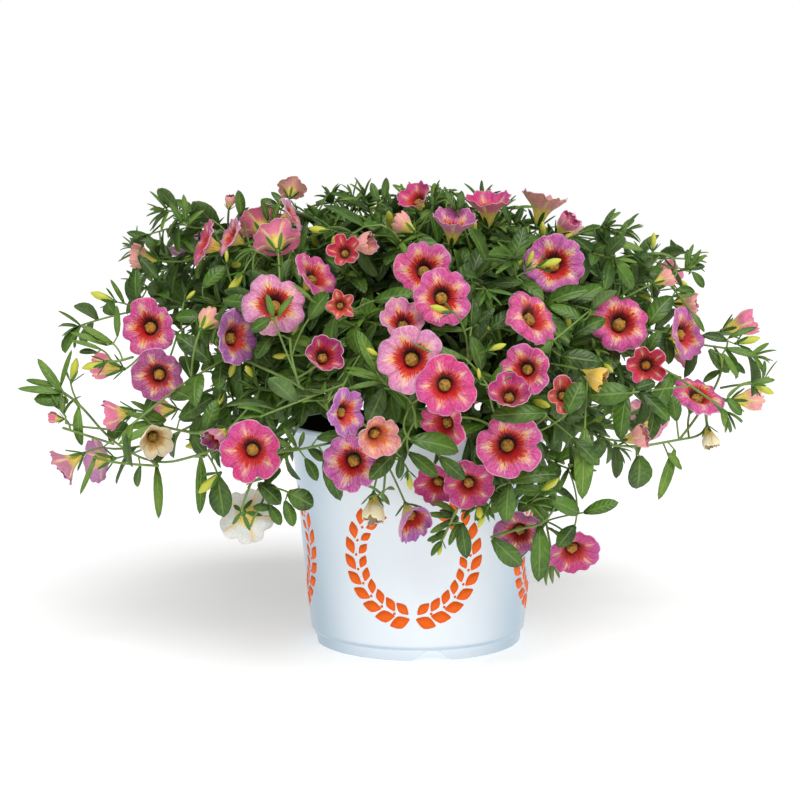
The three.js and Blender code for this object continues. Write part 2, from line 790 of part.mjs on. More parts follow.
// Everything that new growth has to stay clear of, with the shoot and the whorl it belongs to.
const placed = [pot, soil, ...bloomSolids].map((solid) => ({ solid }));

function isClear(solid, shoot, whorl) {
  const own = (other) => other.shoot === shoot && (other.whorl === undefined || other.whorl === whorl);
  return !placed.some((other) => !own(other) && touches(solid, other.solid));
}

// A shoot may only meet the other shoots of its own branch, and is left out where it can't.
function growShoot(sector, index, start) {
  const shoot = new Shoot(sector, index, start);
  const solid = shoot.solid();
  if (placed.some((other) => other.shoot?.sector !== sector && touches(solid, other.solid))) return null;
  placed.push({ solid, shoot });
  return shoot;
}

const shoots = SECTORS.flatMap((name, sector) => {
  const first = growShoot(sector, 0, bases[sector]);
  const others = BRANCHES[name].slice(1).map((_, i) => {
    const fork = first.forkPoint(FORK_HEIGHT + i * FORK_STEP);
    return growShoot(sector, i + 1, fork);
  });
  return [first, ...others].filter((shoot) => shoot);
});

// Puts a growth on a face if it is clear there, and says whether it is.
function tryGrowth({ shoot, whorl, faceNumber }, grow, tested = grow) {
  const solid = growthAlone(whorl.faces[faceNumber], tested);
  if (!isClear(solid, shoot, whorl)) return false;
  whorl.growths[faceNumber] = grow;
  placed.push({ solid, shoot, whorl });
  return true;
}

function freePlaces(shoot, whorls = shoot.whorls) {
  const places = whorls.flatMap((whorl) => [0, 1, 2].map((faceNumber) => ({ shoot, whorl, faceNumber })));
  return places.filter(({ whorl, faceNumber }) => !whorl.growths[faceNumber]);
}

// Each bloom grows from the free face of its sector that lies nearest and looks its way.
allBlooms.forEach((bloom, number) => {
  const back = bloomPoint(bloom, 0, 0, CALYX_BASE);
  const cost = ({ whorl, faceNumber }) => {
    const face = whorl.faces[faceNumber];
    const way = back.clone().sub(middleOf(face));
    const distance = way.length();
    return distance < SHORTEST_STALK ? Infinity : distance * (1.7 - way.normalize().dot(outwardOf(face)));
  };
  const growBloom = number < ownBlooms.length ? growCalyx : growSmallBloom;
  const grow = (facets, corners) => growBloom(facets, corners, bloom);
  const sector = sectorOf(back);
  const places = shoots.filter((shoot) => shoot.sector === sector).flatMap((shoot) => freePlaces(shoot));
  const ranked = places.map((place) => ({ ...place, cost: cost(place) }));
  ranked.sort((one, other) => one.cost - other.cost);
  ranked.find((place) => place.cost < Infinity && tryGrowth(place, grow));
});

// Every second shoot carries a bud below its rosette.
for (const shoot of shoots.filter((each) => each.index % 2 === 1)) {
  const whorl = shoot.whorls[shoot.whorls.length - 2];
  const grow = (facets, corners) => growBud(facets, corners, whorl.direction);
  for (const place of freePlaces(shoot, [whorl]).slice(0, 1)) tryGrowth(place, grow);
}

// Leaves take the faces that are left. Each is tested a little larger than it is.
for (const place of shoots.flatMap((shoot) => freePlaces(shoot))) {
  const { shoot, whorl, faceNumber } = place;
  const leaf = leafOn(whorl.faces[faceNumber], whorl, shoot.seed + whorl.number * 13 + faceNumber * 4);
  const larger = { ...leaf, length: leaf.length + 0.6, halfWidth: leaf.halfWidth + 0.4, thickness: 1.8 };
  const grow = (facets, corners) => growLeaf(facets, corners, leaf);
  tryGrowth(place, grow, (facets, corners) => growLeaf(facets, corners, larger));
}

const plant = new THREE.Group();
plant.add(meshOf('pot', pot, WHITE_PLASTIC));
plant.add(meshOf('soil', soil, POTTING_SOIL));
SECTORS.forEach((name, sector) => {
  const solids = shoots.filter((shoot) => shoot.sector === sector).map((shoot) => shoot.solid());
  const branch = largestPiece(Manifold.union(solids).simplify(SMALLEST_DETAIL));
  plant.add(meshOf(`leafy_branch_${name}`, branch, LEAF_GREEN));
});
bloomSolids.forEach((solid, number) => {
  plant.add(meshOf(`bloom_${String(number + 1).padStart(2, '0')}`, solid, PINK_PETAL));
});

export default plant;
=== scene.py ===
# %% [markdown]
# # A calibrachoa in flower, in its white pot
#
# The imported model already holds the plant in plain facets: a pot, its soil, eight leafy branches
# and fifty blooms. This notebook dresses them. Each step makes one kind of thing, from the shell of
# the pot to the veins of a petal, and every new piece stays where its plain node is.

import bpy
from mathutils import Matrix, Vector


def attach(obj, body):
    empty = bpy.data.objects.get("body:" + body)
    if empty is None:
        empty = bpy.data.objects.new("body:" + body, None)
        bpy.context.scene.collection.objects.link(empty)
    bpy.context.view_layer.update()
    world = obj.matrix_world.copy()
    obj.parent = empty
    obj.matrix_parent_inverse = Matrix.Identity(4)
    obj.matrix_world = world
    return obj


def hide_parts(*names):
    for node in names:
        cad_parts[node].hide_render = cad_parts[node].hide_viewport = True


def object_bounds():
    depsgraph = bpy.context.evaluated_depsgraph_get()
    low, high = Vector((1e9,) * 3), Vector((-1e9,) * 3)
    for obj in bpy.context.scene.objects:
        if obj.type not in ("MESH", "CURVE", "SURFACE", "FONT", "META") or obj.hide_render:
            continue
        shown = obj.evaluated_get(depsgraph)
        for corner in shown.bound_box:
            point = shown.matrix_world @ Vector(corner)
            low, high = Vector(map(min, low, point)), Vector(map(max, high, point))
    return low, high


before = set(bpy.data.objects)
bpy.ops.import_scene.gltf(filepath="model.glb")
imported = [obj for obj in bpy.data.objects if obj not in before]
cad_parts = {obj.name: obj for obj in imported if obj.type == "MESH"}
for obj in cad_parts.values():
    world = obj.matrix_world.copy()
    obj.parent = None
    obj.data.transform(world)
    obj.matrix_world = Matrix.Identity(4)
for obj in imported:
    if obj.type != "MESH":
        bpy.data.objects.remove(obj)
cad_low, cad_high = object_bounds()
print("plain box, mm:", [round(1000 * side) for side in cad_high - cad_low])

# %% [markdown]
# ## Small maths
#
# A plant is full of chance, but the script has to grow the same plant each time. So a number
# between two limits comes from a formula that scrambles a seed, not from a random generator.
# The sizes are in millimetres, as on a drawing, and each finished mesh is scaled to metres.

# %% Helpers for numbers and places
import math

import bmesh
import bpy
from mathutils import Matrix, Vector, noise

MM = 0.001
UP = Vector((0, 0, 1))
GOLDEN = 0.618034
GOLDEN_TURN = math.tau * (1 - GOLDEN)


def draw(seed, low, high):
    wave = math.sin(seed * 12.9898 + 4.1414) * 43758.5453
    return low + (high - low) * (wave - math.floor(wave))


def mix(low, high, share):
    return low + (high - low) * share


def smooth(value, low, high):
    share = min(1, max(0, (value - low) / (high - low)))
    return share * share * (3 - 2 * share)


def bell(value, width):
    return math.exp(-((value / width) ** 2))


def polar(radius, turn, height):
    return Vector((radius * math.cos(turn), radius * math.sin(turn), height))


def facing(turn, pitch):
    return polar(math.cos(pitch), turn, math.sin(pitch))


print("the first draws:", [round(draw(seed, 0, 1), 3) for seed in range(4)])

# %% [markdown]
# ## Shader maths
#
# A pattern on a petal is a small sum: a distance from the throat, a turn round it, a few limits.
# Node by node that is slow to read. The class below wraps a socket, so that a sum is written as
# Python and adds its own Math nodes. Every other node comes from one method.

# %% A socket that can be calculated with
class Wire:
    def __init__(self, paint, socket):
        self.paint = paint
        self.socket = socket

    def math(self, operation, *others):
        return self.paint.node("Math", {"operation": operation}, dict(enumerate((self, *others))))

    def __add__(self, other):
        return self.math("ADD", other)

    def __mul__(self, other):
        return self.math("MULTIPLY", other)

    def __sub__(self, other):
        return self.math("SUBTRACT", other)

    def __rsub__(self, other):
        return self.paint.node("Math", {"operation": "SUBTRACT"}, {0: other, 1: self})

    def __truediv__(self, other):
        return self.math("DIVIDE", other)

    __radd__ = __add__
    __rmul__ = __mul__

    def above(self, low, high):
        inputs = {"Value": self, "From Min": low, "From Max": high}
        return self.paint.node("MapRange", {"interpolation_type": "SMOOTHSTEP"}, inputs)

    def below(self, low, high):
        return 1 - self.above(low, high)


# %% A material and its one method for nodes
class Paint:
    def __init__(self, name):
        self.material = bpy.data.materials.new(name)
        self.material.use_nodes = True
        self.tree = self.material.node_tree
        self.shader = self.tree.nodes["Principled BSDF"]

    def node(self, kind, settings=None, inputs=None, output=0):
        """Adds a node: its settings first, then a value or a link for each of its inputs."""
        node = self.tree.nodes.new("ShaderNode" + kind)
        for name, value in (settings or {}).items():
            setattr(node, name, value)
        for name, value in (inputs or {}).items():
            self.join(node.inputs[name], value)
        return Wire(self, node.outputs[output])

    def join(self, socket, value):
        """Links a wire or sets a value, where a text is a colour."""
        if isinstance(value, Wire):
            self.tree.links.new(value.socket, socket)
        else:
            socket.default_value = colour(value) if isinstance(value, str) else value

    def mix(self, share, low, high):
        inputs = {"Factor": share, 6: low, 7: high}
        return self.node("Mix", {"data_type": "RGBA"}, inputs, output=2)

    def vector_math(self, operation, *vectors):
        return self.node("VectorMath", {"operation": operation}, dict(enumerate(vectors)))

    def axis(self, vector, name):
        return self.node("SeparateXYZ", inputs={"Vector": vector}, output=name)

    def place(self, scale=(1, 1, 1)):
        """The object's own coordinates in metres, stretched."""
        return self.vector_math("MULTIPLY", self.node("TexCoord", output="Object"), scale)

    def noise(self, scale, detail=3.0, roughness=0.55, vector=None):
        """A soft noise, which lies in the object's own space unless a vector places it."""
        vector = vector or self.place()
        inputs = {"Vector": vector, "Scale": scale, "Detail": detail, "Roughness": roughness}
        return self.node("TexNoise", inputs=inputs, output="Fac")

    def bump(self, height, distance, strength=1.0):
        inputs = {"Height": height, "Distance": distance, "Strength": strength}
        self.finish(Normal=self.node("Bump", inputs=inputs))

    def finish(self, **sockets):
        for name, value in sockets.items():
            self.join(self.shader.inputs[name.replace("_", " ")], value)
        return self.material


def colour(code):
    """A screen colour such as ff8800 as the linear light that the shader wants."""
    parts = [int(code[start : start + 2], 16) / 255 for start in (0, 2, 4)]
    linear = [part / 12.92 if part < 0.04045 else ((part + 0.055) / 1.055) ** 2.4 for part in parts]
    return (*linear, 1)


print("a middle grey is", [round(part, 3) for part in colour("808080")])

# %% [markdown]
# ## From a bmesh to a piece
#
# Every piece ends in the same way. Its mesh is scaled to metres, its faces are smoothed, and it
# rides on the plant's one body. The last argument names the plain nodes that it stands for.

# %% Making a piece
def new_object(name, data):
    thing = bpy.data.objects.new(name, data)
    bpy.context.scene.collection.objects.link(thing)
    return thing


def template(name, bm):
    """Keeps a finished shape as a mesh that can be copied."""
    mesh = bpy.data.meshes.new(name)
    bm.to_mesh(mesh)
    bm.free()
    return mesh


def piece(name, bm, materials, nodes=(), sheet=0):
    """sheet is the thickness in mm of a piece that is modelled as a thin skin."""
    mesh = template(name, bm)
    mesh.transform(Matrix.Scale(MM, 4))
    mesh.shade_smooth()
    for material in materials:
        mesh.materials.append(material)
    thing = new_object(name, mesh)
    if sheet:
        skin = thing.modifiers.new("thickness", "SOLIDIFY")
        skin.thickness = sheet * MM
        skin.offset = -1
        skin.material_offset = 1
        skin.use_even_offset = False
    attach(thing, "root")
    if nodes:
        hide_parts(*nodes)
    return thing


def add_copy(bm, small_mesh, matrix):
    """Adds a copy of a small mesh to a larger one and gives back its faces."""
    first = len(bm.faces)
    copy = small_mesh.copy()
    copy.transform(matrix)
    bm.from_mesh(copy)
    bpy.data.meshes.remove(copy)
    bm.faces.ensure_lookup_table()
    return bm.faces[first:]


def framed(origin, x, y, z):
    """The matrix that takes a template's axes to three directions at a place."""
    return Matrix.Translation(origin) @ Matrix((x, y, z)).transposed().to_4x4()


# %% [markdown]
# ## The camera, the light and the floor
#
# The camera stands a little above the pot and looks slightly down. A pale world gives some light
# from every side, as a light tent does. One very soft lamp in front and above does the rest, so
# that the depths between the leaves stay dark. It is a sun with a wide angle, because its light is
# the same everywhere on the floor. The floor is a wide pale disc, and behind it the world shows as
# plain white.

# %% Camera
CAMERA_PLACE = Vector((-12, -1123, 276))
CAMERA_PITCH = 5.8
LENS = 75.24
SENSOR = 36
SIGHT_LIMIT = 100

camera_data = bpy.data.cameras.new("camera")
camera_data.lens = LENS
camera_data.sensor_width = SENSOR
camera_data.clip_end = SIGHT_LIMIT
camera = new_object("camera", camera_data)
camera.location = CAMERA_PLACE * MM
camera.rotation_euler = (math.radians(90 - CAMERA_PITCH), 0, 0)
bpy.context.scene.camera = camera
print("camera at", [round(x, 3) for x in camera.location])

# %% Light and floor
WORLD_LIGHT = 0.24
LAMP_LIGHT = 2.42
LAMP_ANGLE = 45
LAMP_TURN = 16
LAMP_HEIGHT = 51
FLOOR_GLOW = 0.4
FLOOR_RADIUS = 14
FLOOR_SIDES = 96

lamp_data = bpy.data.lights.new("soft_front", "SUN")
lamp_data.energy = LAMP_LIGHT
lamp_data.angle = math.radians(LAMP_ANGLE)
lamp = new_object("soft_front", lamp_data)
lamp.rotation_euler = (math.radians(90 - LAMP_HEIGHT), 0, math.radians(LAMP_TURN))

world = bpy.data.worlds.new("studio")
world.use_nodes = True
world_nodes, world_links = world.node_tree.nodes, world.node_tree.links
backdrop = world_nodes["Background"]
backdrop.inputs["Color"].default_value = (1, 1, 1, 1)
light_path = world_nodes.new("ShaderNodeLightPath")
brightness = world_nodes.new("ShaderNodeMapRange")
brightness.inputs["To Min"].default_value = WORLD_LIGHT
brightness.inputs["To Max"].default_value = 1
world_links.new(light_path.outputs["Is Camera Ray"], brightness.inputs["Value"])
world_links.new(brightness.outputs["Result"], backdrop.inputs["Strength"])
bpy.context.scene.world = world
bpy.context.scene.view_settings.view_transform = "Standard"

floor_paint = Paint("pale_floor")
floor_paint.finish(
    Base_Color=(0.9, 0.9, 0.9, 1),
    Roughness=0.9,
    Emission_Color=(1, 1, 1, 1),
    Emission_Strength=FLOOR_GLOW,
)
floor_mesh = bmesh.new()
bmesh.ops.create_circle(floor_mesh, cap_ends=True, segments=FLOOR_SIDES, radius=FLOOR_RADIUS)
floor_data = template("floor", floor_mesh)
floor_data.materials.append(floor_paint.material)
floor = new_object("floor", floor_data)
print("one lamp, a pale world and a floor", 2 * FLOOR_RADIUS, "m wide")

# %% [markdown]
# ## The pot
#
# The pot is blown plastic about as thick as a card: a foot ring with four drain notches, a wall
# that widens upwards, and a small rim. A turned thing is quickest as a profile that spins round
# the axis. The notches then need no cutting: where one lies, the foot's lower edge is lifted.

# %% Pot sizes
POT_HEIGHT = 147
POT_SIDES = 192
FOOT_HEIGHT = 7.2
FOOT_RADIUS = 70
FOOT_WALL = 3.2
FOOT_FLARE = 0.6
WALL_BASE_RADIUS = 72.6
WALL_TOP_RADIUS = 85.8
WALL = 1.7
RIM_OVERHANG = 1.5
RIM_HEIGHT = 3.6
RIM_SLOPE = 0.6
RIM_TAPER = 0.3
FLOOR_THICKNESS = 2
NOTCHES = 4
NOTCH_TURN = math.radians(-83)
NOTCH_WIDTH_BELOW = 26
NOTCH_WIDTH_ABOVE = 8
NOTCH_ROOF = 0.6
SOIL_TOP = 134
SOIL_CROWN = 2.5

floor_top = FOOT_HEIGHT + FLOOR_THICKNESS
rim_base = POT_HEIGHT - RIM_HEIGHT


def wall_radius(height):
    return mix(WALL_BASE_RADIUS, WALL_TOP_RADIUS, (height - floor_top) / (rim_base - floor_top))


def spun(profile, sides):
    """Turns (radius, height) pairs about the upright axis."""
    bm = bmesh.new()
    corners = [bm.verts.new((radius, 0, height)) for radius, height in profile]
    for first, second in zip(corners, corners[1:]):
        bm.edges.new((first, second))
    geometry = bm.verts[:] + bm.edges[:]
    spin = {"cent": (0, 0, 0), "axis": UP, "angle": math.tau, "steps": sides, "use_merge": True}
    bmesh.ops.spin(bm, geom=geometry, **spin)
    bmesh.ops.remove_doubles(bm, verts=bm.verts[:], dist=0.001)
    bmesh.ops.recalc_face_normals(bm, faces=bm.faces[:])
    return bm


def rounded(corner, before, after, radius, steps=3):
    """An arc in place of a profile's corner."""
    corner, before, after = Vector(corner), Vector(before), Vector(after)
    start = corner + (before - corner).normalized() * radius
    end = corner + (after - corner).normalized() * radius
    shares = [step / steps for step in range(steps + 1)]
    return [start.lerp(corner, share).lerp(corner.lerp(end, share), share)[:] for share in shares]


# %% Pot shape
def pot_profile():
    """The wall's section: each corner with the radius of its rounding."""
    rim_radius = WALL_TOP_RADIUS + RIM_OVERHANG
    mouth = WALL_TOP_RADIUS - WALL
    corners = [
        ((0, FOOT_HEIGHT), 0),
        ((FOOT_RADIUS - FOOT_WALL, FOOT_HEIGHT), 0),
        ((FOOT_RADIUS - FOOT_WALL, 0), 0.3),
        ((FOOT_RADIUS, 0), 0.5),
        ((FOOT_RADIUS + FOOT_FLARE, FOOT_HEIGHT), 0.25),
        ((WALL_BASE_RADIUS, floor_top), 0.9),
        ((WALL_TOP_RADIUS, rim_base), 0.35),
        ((rim_radius, rim_base + RIM_SLOPE), 0.3),
        ((rim_radius - RIM_TAPER, POT_HEIGHT), 0.7),
        ((mouth, POT_HEIGHT), 0.5),
        ((mouth, rim_base), 0),
        ((WALL_BASE_RADIUS - WALL, floor_top), 0),
        ((0, floor_top), 0),
    ]
    profile = []
    for number, (corner, radius) in enumerate(corners):
        if radius:
            before, after = corners[number - 1][0], corners[number + 1][0]
            profile += rounded((*corner, 0), (*before, 0), (*after, 0), radius)
        else:
            profile.append(corner)
    return [point[:2] for point in profile]


def notch_lift(point):
    """How far a drain notch lifts the foot's lower edge at this turn."""
    turn = math.atan2(point.y, point.x) - NOTCH_TURN
    step = math.tau / NOTCHES
    turn = abs((turn + step / 2) % step - step / 2)
    across = turn * FOOT_RADIUS
    slope = (NOTCH_WIDTH_BELOW / 2 - across) / ((NOTCH_WIDTH_BELOW - NOTCH_WIDTH_ABOVE) / 2)
    return min(1, max(0, slope)) * (FOOT_HEIGHT - NOTCH_ROOF)


def inside_pot(centre):
    above_floor = centre.z > floor_top - FLOOR_THICKNESS / 4
    return above_floor and centre.xy.length < wall_radius(centre.z) - WALL / 2


pot_mesh = spun(pot_profile(), POT_SIDES)
for vert in pot_mesh.verts:
    if vert.co.z < 1 and vert.co.xy.length > FOOT_RADIUS - FOOT_WALL - 1:
        vert.co.z += notch_lift(vert.co)
for face in pot_mesh.faces:
    face.material_index = int(inside_pot(face.calc_center_median()))
print("pot faces:", len(pot_mesh.faces))

# %% [markdown]
# The white is a glossy plastic with a faint blue cast. Where the wall turns away from view, its
# white is painted darker and bluer, as painted shade. The lowest part of the pot is painted a little
# greyer, as shade near the floor, and a thin darker line is painted shade in the crease where the
# foot meets the wall. A faint glow stands for the light that wanders inside the plastic. The gloss is
# uneven, as on every thin moulded wall, so the roughness follows a large soft noise, with a grain
# too fine to feel as its bump. The inside is black.

# %% Pot finish
WALL_GLOW = 0.135

white_plastic = Paint("white_plastic")
wall_noise = white_plastic.noise(14.0, 2.0)
wall_white = white_plastic.mix(wall_noise, "e9f2fa", "f2f8fd")
# Painted shade: the white turns darker and bluer where the wall turns away from view.
painted_edge_shade = white_plastic.node("LayerWeight", inputs={"Blend": 0.5}, output="Facing")
wall_white = white_plastic.mix(painted_edge_shade.above(0.1, 0.68), wall_white, "a9c2d3")
height = white_plastic.axis(white_plastic.place(), "Z")
# Painted shade: the lowest 14 mm of the pot grow greyer towards the floor.
wall_white = white_plastic.mix(height.below(0.0, 0.014) * 0.35, wall_white, "a3b6c6")
# Painted shade: a thin darker line in the crease where the foot meets the wall.
painted_crease_shade = (height - floor_top * MM).math("ABSOLUTE").below(0.0, 0.0016)
white_plastic.finish(
    Base_Color=white_plastic.mix(painted_crease_shade * 0.3, wall_white, "8ea2b4"),
    Roughness=0.28 + 0.08 * wall_noise,
    Coat_Weight=0.25,
    Coat_Roughness=0.12,
    Emission_Color="dceaf8",
    Emission_Strength=WALL_GLOW,
)
white_plastic.bump(white_plastic.noise(900.0, 2.0), 0.00002, 0.3)

black_plastic = Paint("black_plastic")
black_noise = black_plastic.noise(90.0)
black_plastic.finish(Base_Color="141619", Roughness=0.4 + 0.2 * black_noise)

pot_materials = [white_plastic.material, black_plastic.material]
piece("pot_shell", pot_mesh, pot_materials, ["pot"])
print("pot", POT_HEIGHT, "mm high")

# %% [markdown]
# ## The printed wreaths
#
# Four orange wreaths are printed round the wall. Each is a plain laurel wreath: two sprigs that
# start at the bottom and curve up, with pointed leaves in pairs and a small berry between pairs.
# Every leaf starts as a flat disc, is drawn out to two points, and is then wrapped on the wall.

# %% Wreath shape
WREATHS = 4
WREATH_HEIGHT = 68
WREATH_ACROSS = -4
WREATH_RADIUS = 38
SPRIG_START = 12
LAUREL_PAIRS = 10
PAIR_STEP = 14.6
PAIR_SHRINK = 0.03
LAUREL_LENGTH = 14.5
LAUREL_WIDTH = 8.6
LAUREL_LEAN = 32
LAUREL_OFFSET = 4.7
LAUREL_TAPER = 0.62
INNER_LEAF = 0.76
BERRY = 1.9
BERRY_STEP = 7
INK_LIFT = 0.12
INK_THICKNESS = 0.1
INK_SIDES = 16

printed_radius = wall_radius(WREATH_HEIGHT)


def ink_shape(bm, along, up, turn, length, width, pointed):
    """A flat disc on the wall's unrolled plane, drawn out to a leaf where it is pointed."""
    made = bmesh.ops.create_circle(bm, cap_ends=True, cap_tris=True, segments=INK_SIDES, radius=1)
    for vert in made["verts"]:
        x, y = vert.co.x, vert.co.y
        if pointed:
            y *= 1 - LAUREL_TAPER * abs(x) ** 1.6
        x, y = x * length / 2, y * width / 2
        vert.co.x = along + x * math.cos(turn) - y * math.sin(turn)
        vert.co.y = up + x * math.sin(turn) + y * math.cos(turn)


def laurel_sprig(bm, side):
    """Pairs of leaves that lean away from an arc, which starts beside the wreath's lowest point."""
    for pair in range(LAUREL_PAIRS):
        turn = math.radians(-90 + side * (SPRIG_START + PAIR_STEP * pair))
        heading = turn + side * math.pi / 2
        size = 1 - PAIR_SHRINK * pair
        for lean in (-1, 1):
            leaf_turn = heading - side * lean * math.radians(LAUREL_LEAN)
            reach = WREATH_RADIUS + lean * LAUREL_OFFSET
            along, up = reach * math.cos(turn), reach * math.sin(turn)
            leaf = size if lean > 0 else size * INNER_LEAF
            ink_shape(bm, along, up, leaf_turn, LAUREL_LENGTH * leaf, LAUREL_WIDTH * leaf, True)
        turn += side * math.radians(BERRY_STEP)
        berry = (WREATH_RADIUS * math.cos(turn), WREATH_RADIUS * math.sin(turn))
        ink_shape(bm, *berry, 0, BERRY, BERRY, False)


def wrapped(point, centre_turn):
    """A point of the unrolled plane, laid on the wall."""
    height = WREATH_HEIGHT + point.y
    return polar(wall_radius(height) + INK_LIFT, centre_turn + point.x / printed_radius, height)


print("the wall's radius at the wreaths is", round(printed_radius, 1), "mm")

# %% Four wreaths on the wall
flat_wreath = bmesh.new()
for side in (-1, 1):
    laurel_sprig(flat_wreath, side)
flat_wreath = template("wreath", flat_wreath)
wreath_mesh = bmesh.new()
for number in range(WREATHS):
    first = len(wreath_mesh.verts)
    wreath_mesh.from_mesh(flat_wreath)
    wreath_mesh.verts.ensure_lookup_table()
    turn = math.radians(-90) + math.tau * number / WREATHS + WREATH_ACROSS / printed_radius
    for vert in wreath_mesh.verts[first:]:
        vert.co = wrapped(vert.co, turn)
bmesh.ops.recalc_face_normals(wreath_mesh, faces=wreath_mesh.faces[:])
for face in wreath_mesh.faces:
    if face.normal.xy.dot(face.calc_center_median().xy) < 0:
        face.normal_flip()

orange_ink = Paint("orange_ink")
ink_noise = orange_ink.noise(300.0)
# The ink glows as faintly as the wall: painted light, which stands for the light inside the plastic.
orange_ink.finish(
    Base_Color=orange_ink.mix(ink_noise, "f05c04", "fb6f0c"),
    Roughness=0.5,
    Specular_IOR_Level=0.25,
    Emission_Color="f8640a",
    Emission_Strength=WALL_GLOW,
)
piece("printed_wreaths", wreath_mesh, [orange_ink.material] * 2, sheet=INK_THICKNESS)
print("wreaths:", WREATHS, "with", 4 * LAUREL_PAIRS, "leaves each")

# %% [markdown]
# ## The potting mix
#
# Peat and bark fill the pot to just under its rim. The surface is a spun disc, and a noise pushes
# every point of its top up or down, so that crumbs and lumps are real shapes. The finer grain is
# colour and bump: dark fibres, lighter bark, and a few white grains of perlite.

# %% Soil shape
SOIL_RINGS = 30
SOIL_SIDES = 96
SOIL_GAP = 0.3
# Each kind of lump: how high and how wide it is.
LUMPS = [(2.2, 9), (1.1, 3.5)]
# They fade out between these shares of the way to the wall.
SOIL_EDGE = (0.9, 0.98)


def soil_profile():
    bottom = floor_top + SOIL_GAP
    edge_radius = wall_radius(SOIL_TOP - SOIL_CROWN) - WALL - SOIL_GAP
    top = [(edge_radius * ring / SOIL_RINGS, SOIL_TOP) for ring in range(SOIL_RINGS + 1)]
    return [*top, (wall_radius(bottom) - WALL - SOIL_GAP, bottom), (0, bottom)]


def soil_height(point):
    share = math.hypot(point.x, point.y) / wall_radius(SOIL_TOP)
    crown = SOIL_TOP - SOIL_CROWN * share**2
    lumps = sum(height * noise.noise(point / width) for height, width in LUMPS)
    return crown + lumps * (1 - smooth(share, *SOIL_EDGE))


soil_mesh = spun(soil_profile(), SOIL_SIDES)
for vert in soil_mesh.verts:
    if vert.co.z > SOIL_TOP - 1:
        vert.co.z = soil_height(vert.co)
print("soil faces:", len(soil_mesh.faces))

# %% Soil finish
potting_mix = Paint("potting_mix")
grain = potting_mix.noise(260.0, 6.0, 0.7)
fibres = potting_mix.noise(420.0, 4.0, vector=potting_mix.place((1, 3, 1)))
cells = potting_mix.node("TexVoronoi", inputs={"Vector": potting_mix.place(), "Scale": 210.0})
perlite = cells.below(0.1, 0.16) * grain.above(0.52, 0.58)
earth = potting_mix.mix(grain, "1d130c", "523a27")
earth = potting_mix.mix(fibres.above(0.6, 0.7) * 0.6, earth, "7a5b3e")
potting_mix.finish(Base_Color=potting_mix.mix(perlite, earth, "d9d4c8"), Roughness=0.95)
potting_mix.bump(grain + 0.5 * fibres, 0.0012)
piece("potting_mix", soil_mesh, [potting_mix.material], ["soil"])
print("soil top at", SOIL_TOP, "mm")

# %% [markdown]
# ## Where the blooms are
#
# Each row sets one bloom that faces the front: how far across and how high the line of sight
# through it passes the pot's axis, how far in front of the axis it stands, how its face is turned
# and pitched, its radius, its tint and its form. The back blooms are spread by the golden ratio.
# The places are the plain model's own, so that every bloom stays where its plain node is.

# %% Bloom lists
LARGE_BLOOMS = [
    (-182, 211, 60, -10, 5, 18, "pink", "open"),
    (-176, 178, 84, -5, -5, 17, "dusk", "open"),
    (-113, 127, 150, -3, 0, 18, "hot", "open"),
    (-96, 228, 132, 8, 24, 20, "pale", "reflexed"),
    (-121, 204, 118, 50, 5, 17, "lilac", "open"),
    (-63, 192, 172, 15, 22, 14, "magenta", "funnel"),
    (-49, 262, 138, 0, 20, 11, "red", "curled"),
    (-52, 226, 165, 5, 10, 9.5, "ember", "star"),
    (-47, 153, 186, 50, 0, 14, "lilac", "open"),
    (-45, 119, 163, -10, -5, 17.5, "orchid", "open"),
    (-27, 137, 184, 22, -12, 14, "peach", "cupped"),
    (-3, 78, 128, 20, -35, 16.5, "lilac", "folded"),
    (4, 250, 136, 0, 15, 17, "pink", "open"),
    (17, 231, 166, 8, 5, 17, "pink", "open"),
    (-5, 189, 186, -6, 2, 19, "pale", "open"),
    (-10, 216, 160, 0, 40, 15, "pale", "cupped"),
    (19, 171, 206, 4, -2, 17, "hot", "open"),
    (16, 145, 180, -40, -10, 15, "hot", "open"),
    (62, 130, 176, 5, 0, 19, "pink", "open"),
    (35, 103, 152, 0, -15, 15, "magenta", "open"),
    (13, 103, 132, -12, -25, 14, "magenta", "open"),
    (80, 220, 150, 42, 30, 19, "pink", "reflexed"),
    (92, 254, 104, 5, 10, 19, "orchid", "open"),
    (137, 216, 92, 6, 26, 20, "pink", "reflexed"),
    (154, 185, 104, -5, 0, 14, "red", "curled"),
    (72, 182, 168, -20, 0, 15, "pink", "open"),
    (62, 167, 194, 0, 40, 14, "magenta", "cupped"),
    (182, 207, 54, 46, 10, 17, "orchid", "open"),
    (191, 168, 62, 25, 52, 18, "pink", "reflexed"),
    (107, 56, 112, 10, -30, 17, "magenta", "open"),
    (69, 70, 118, -10, -20, 15, "dusk", "open"),
    (-240, 117, 56, -70, -30, 15, "dusk", "cupped"),
    (-206, 152, 62, -85, -10, 14, "pink", "folded"),
    (-106, 282, 46, -150, 45, 16, "hot", "open"),
    (-145, 268, 62, -70, 20, 16, "hot", "open"),
    (-2, 298, 52, -35, 42, 13, "hot", "cupped"),
]
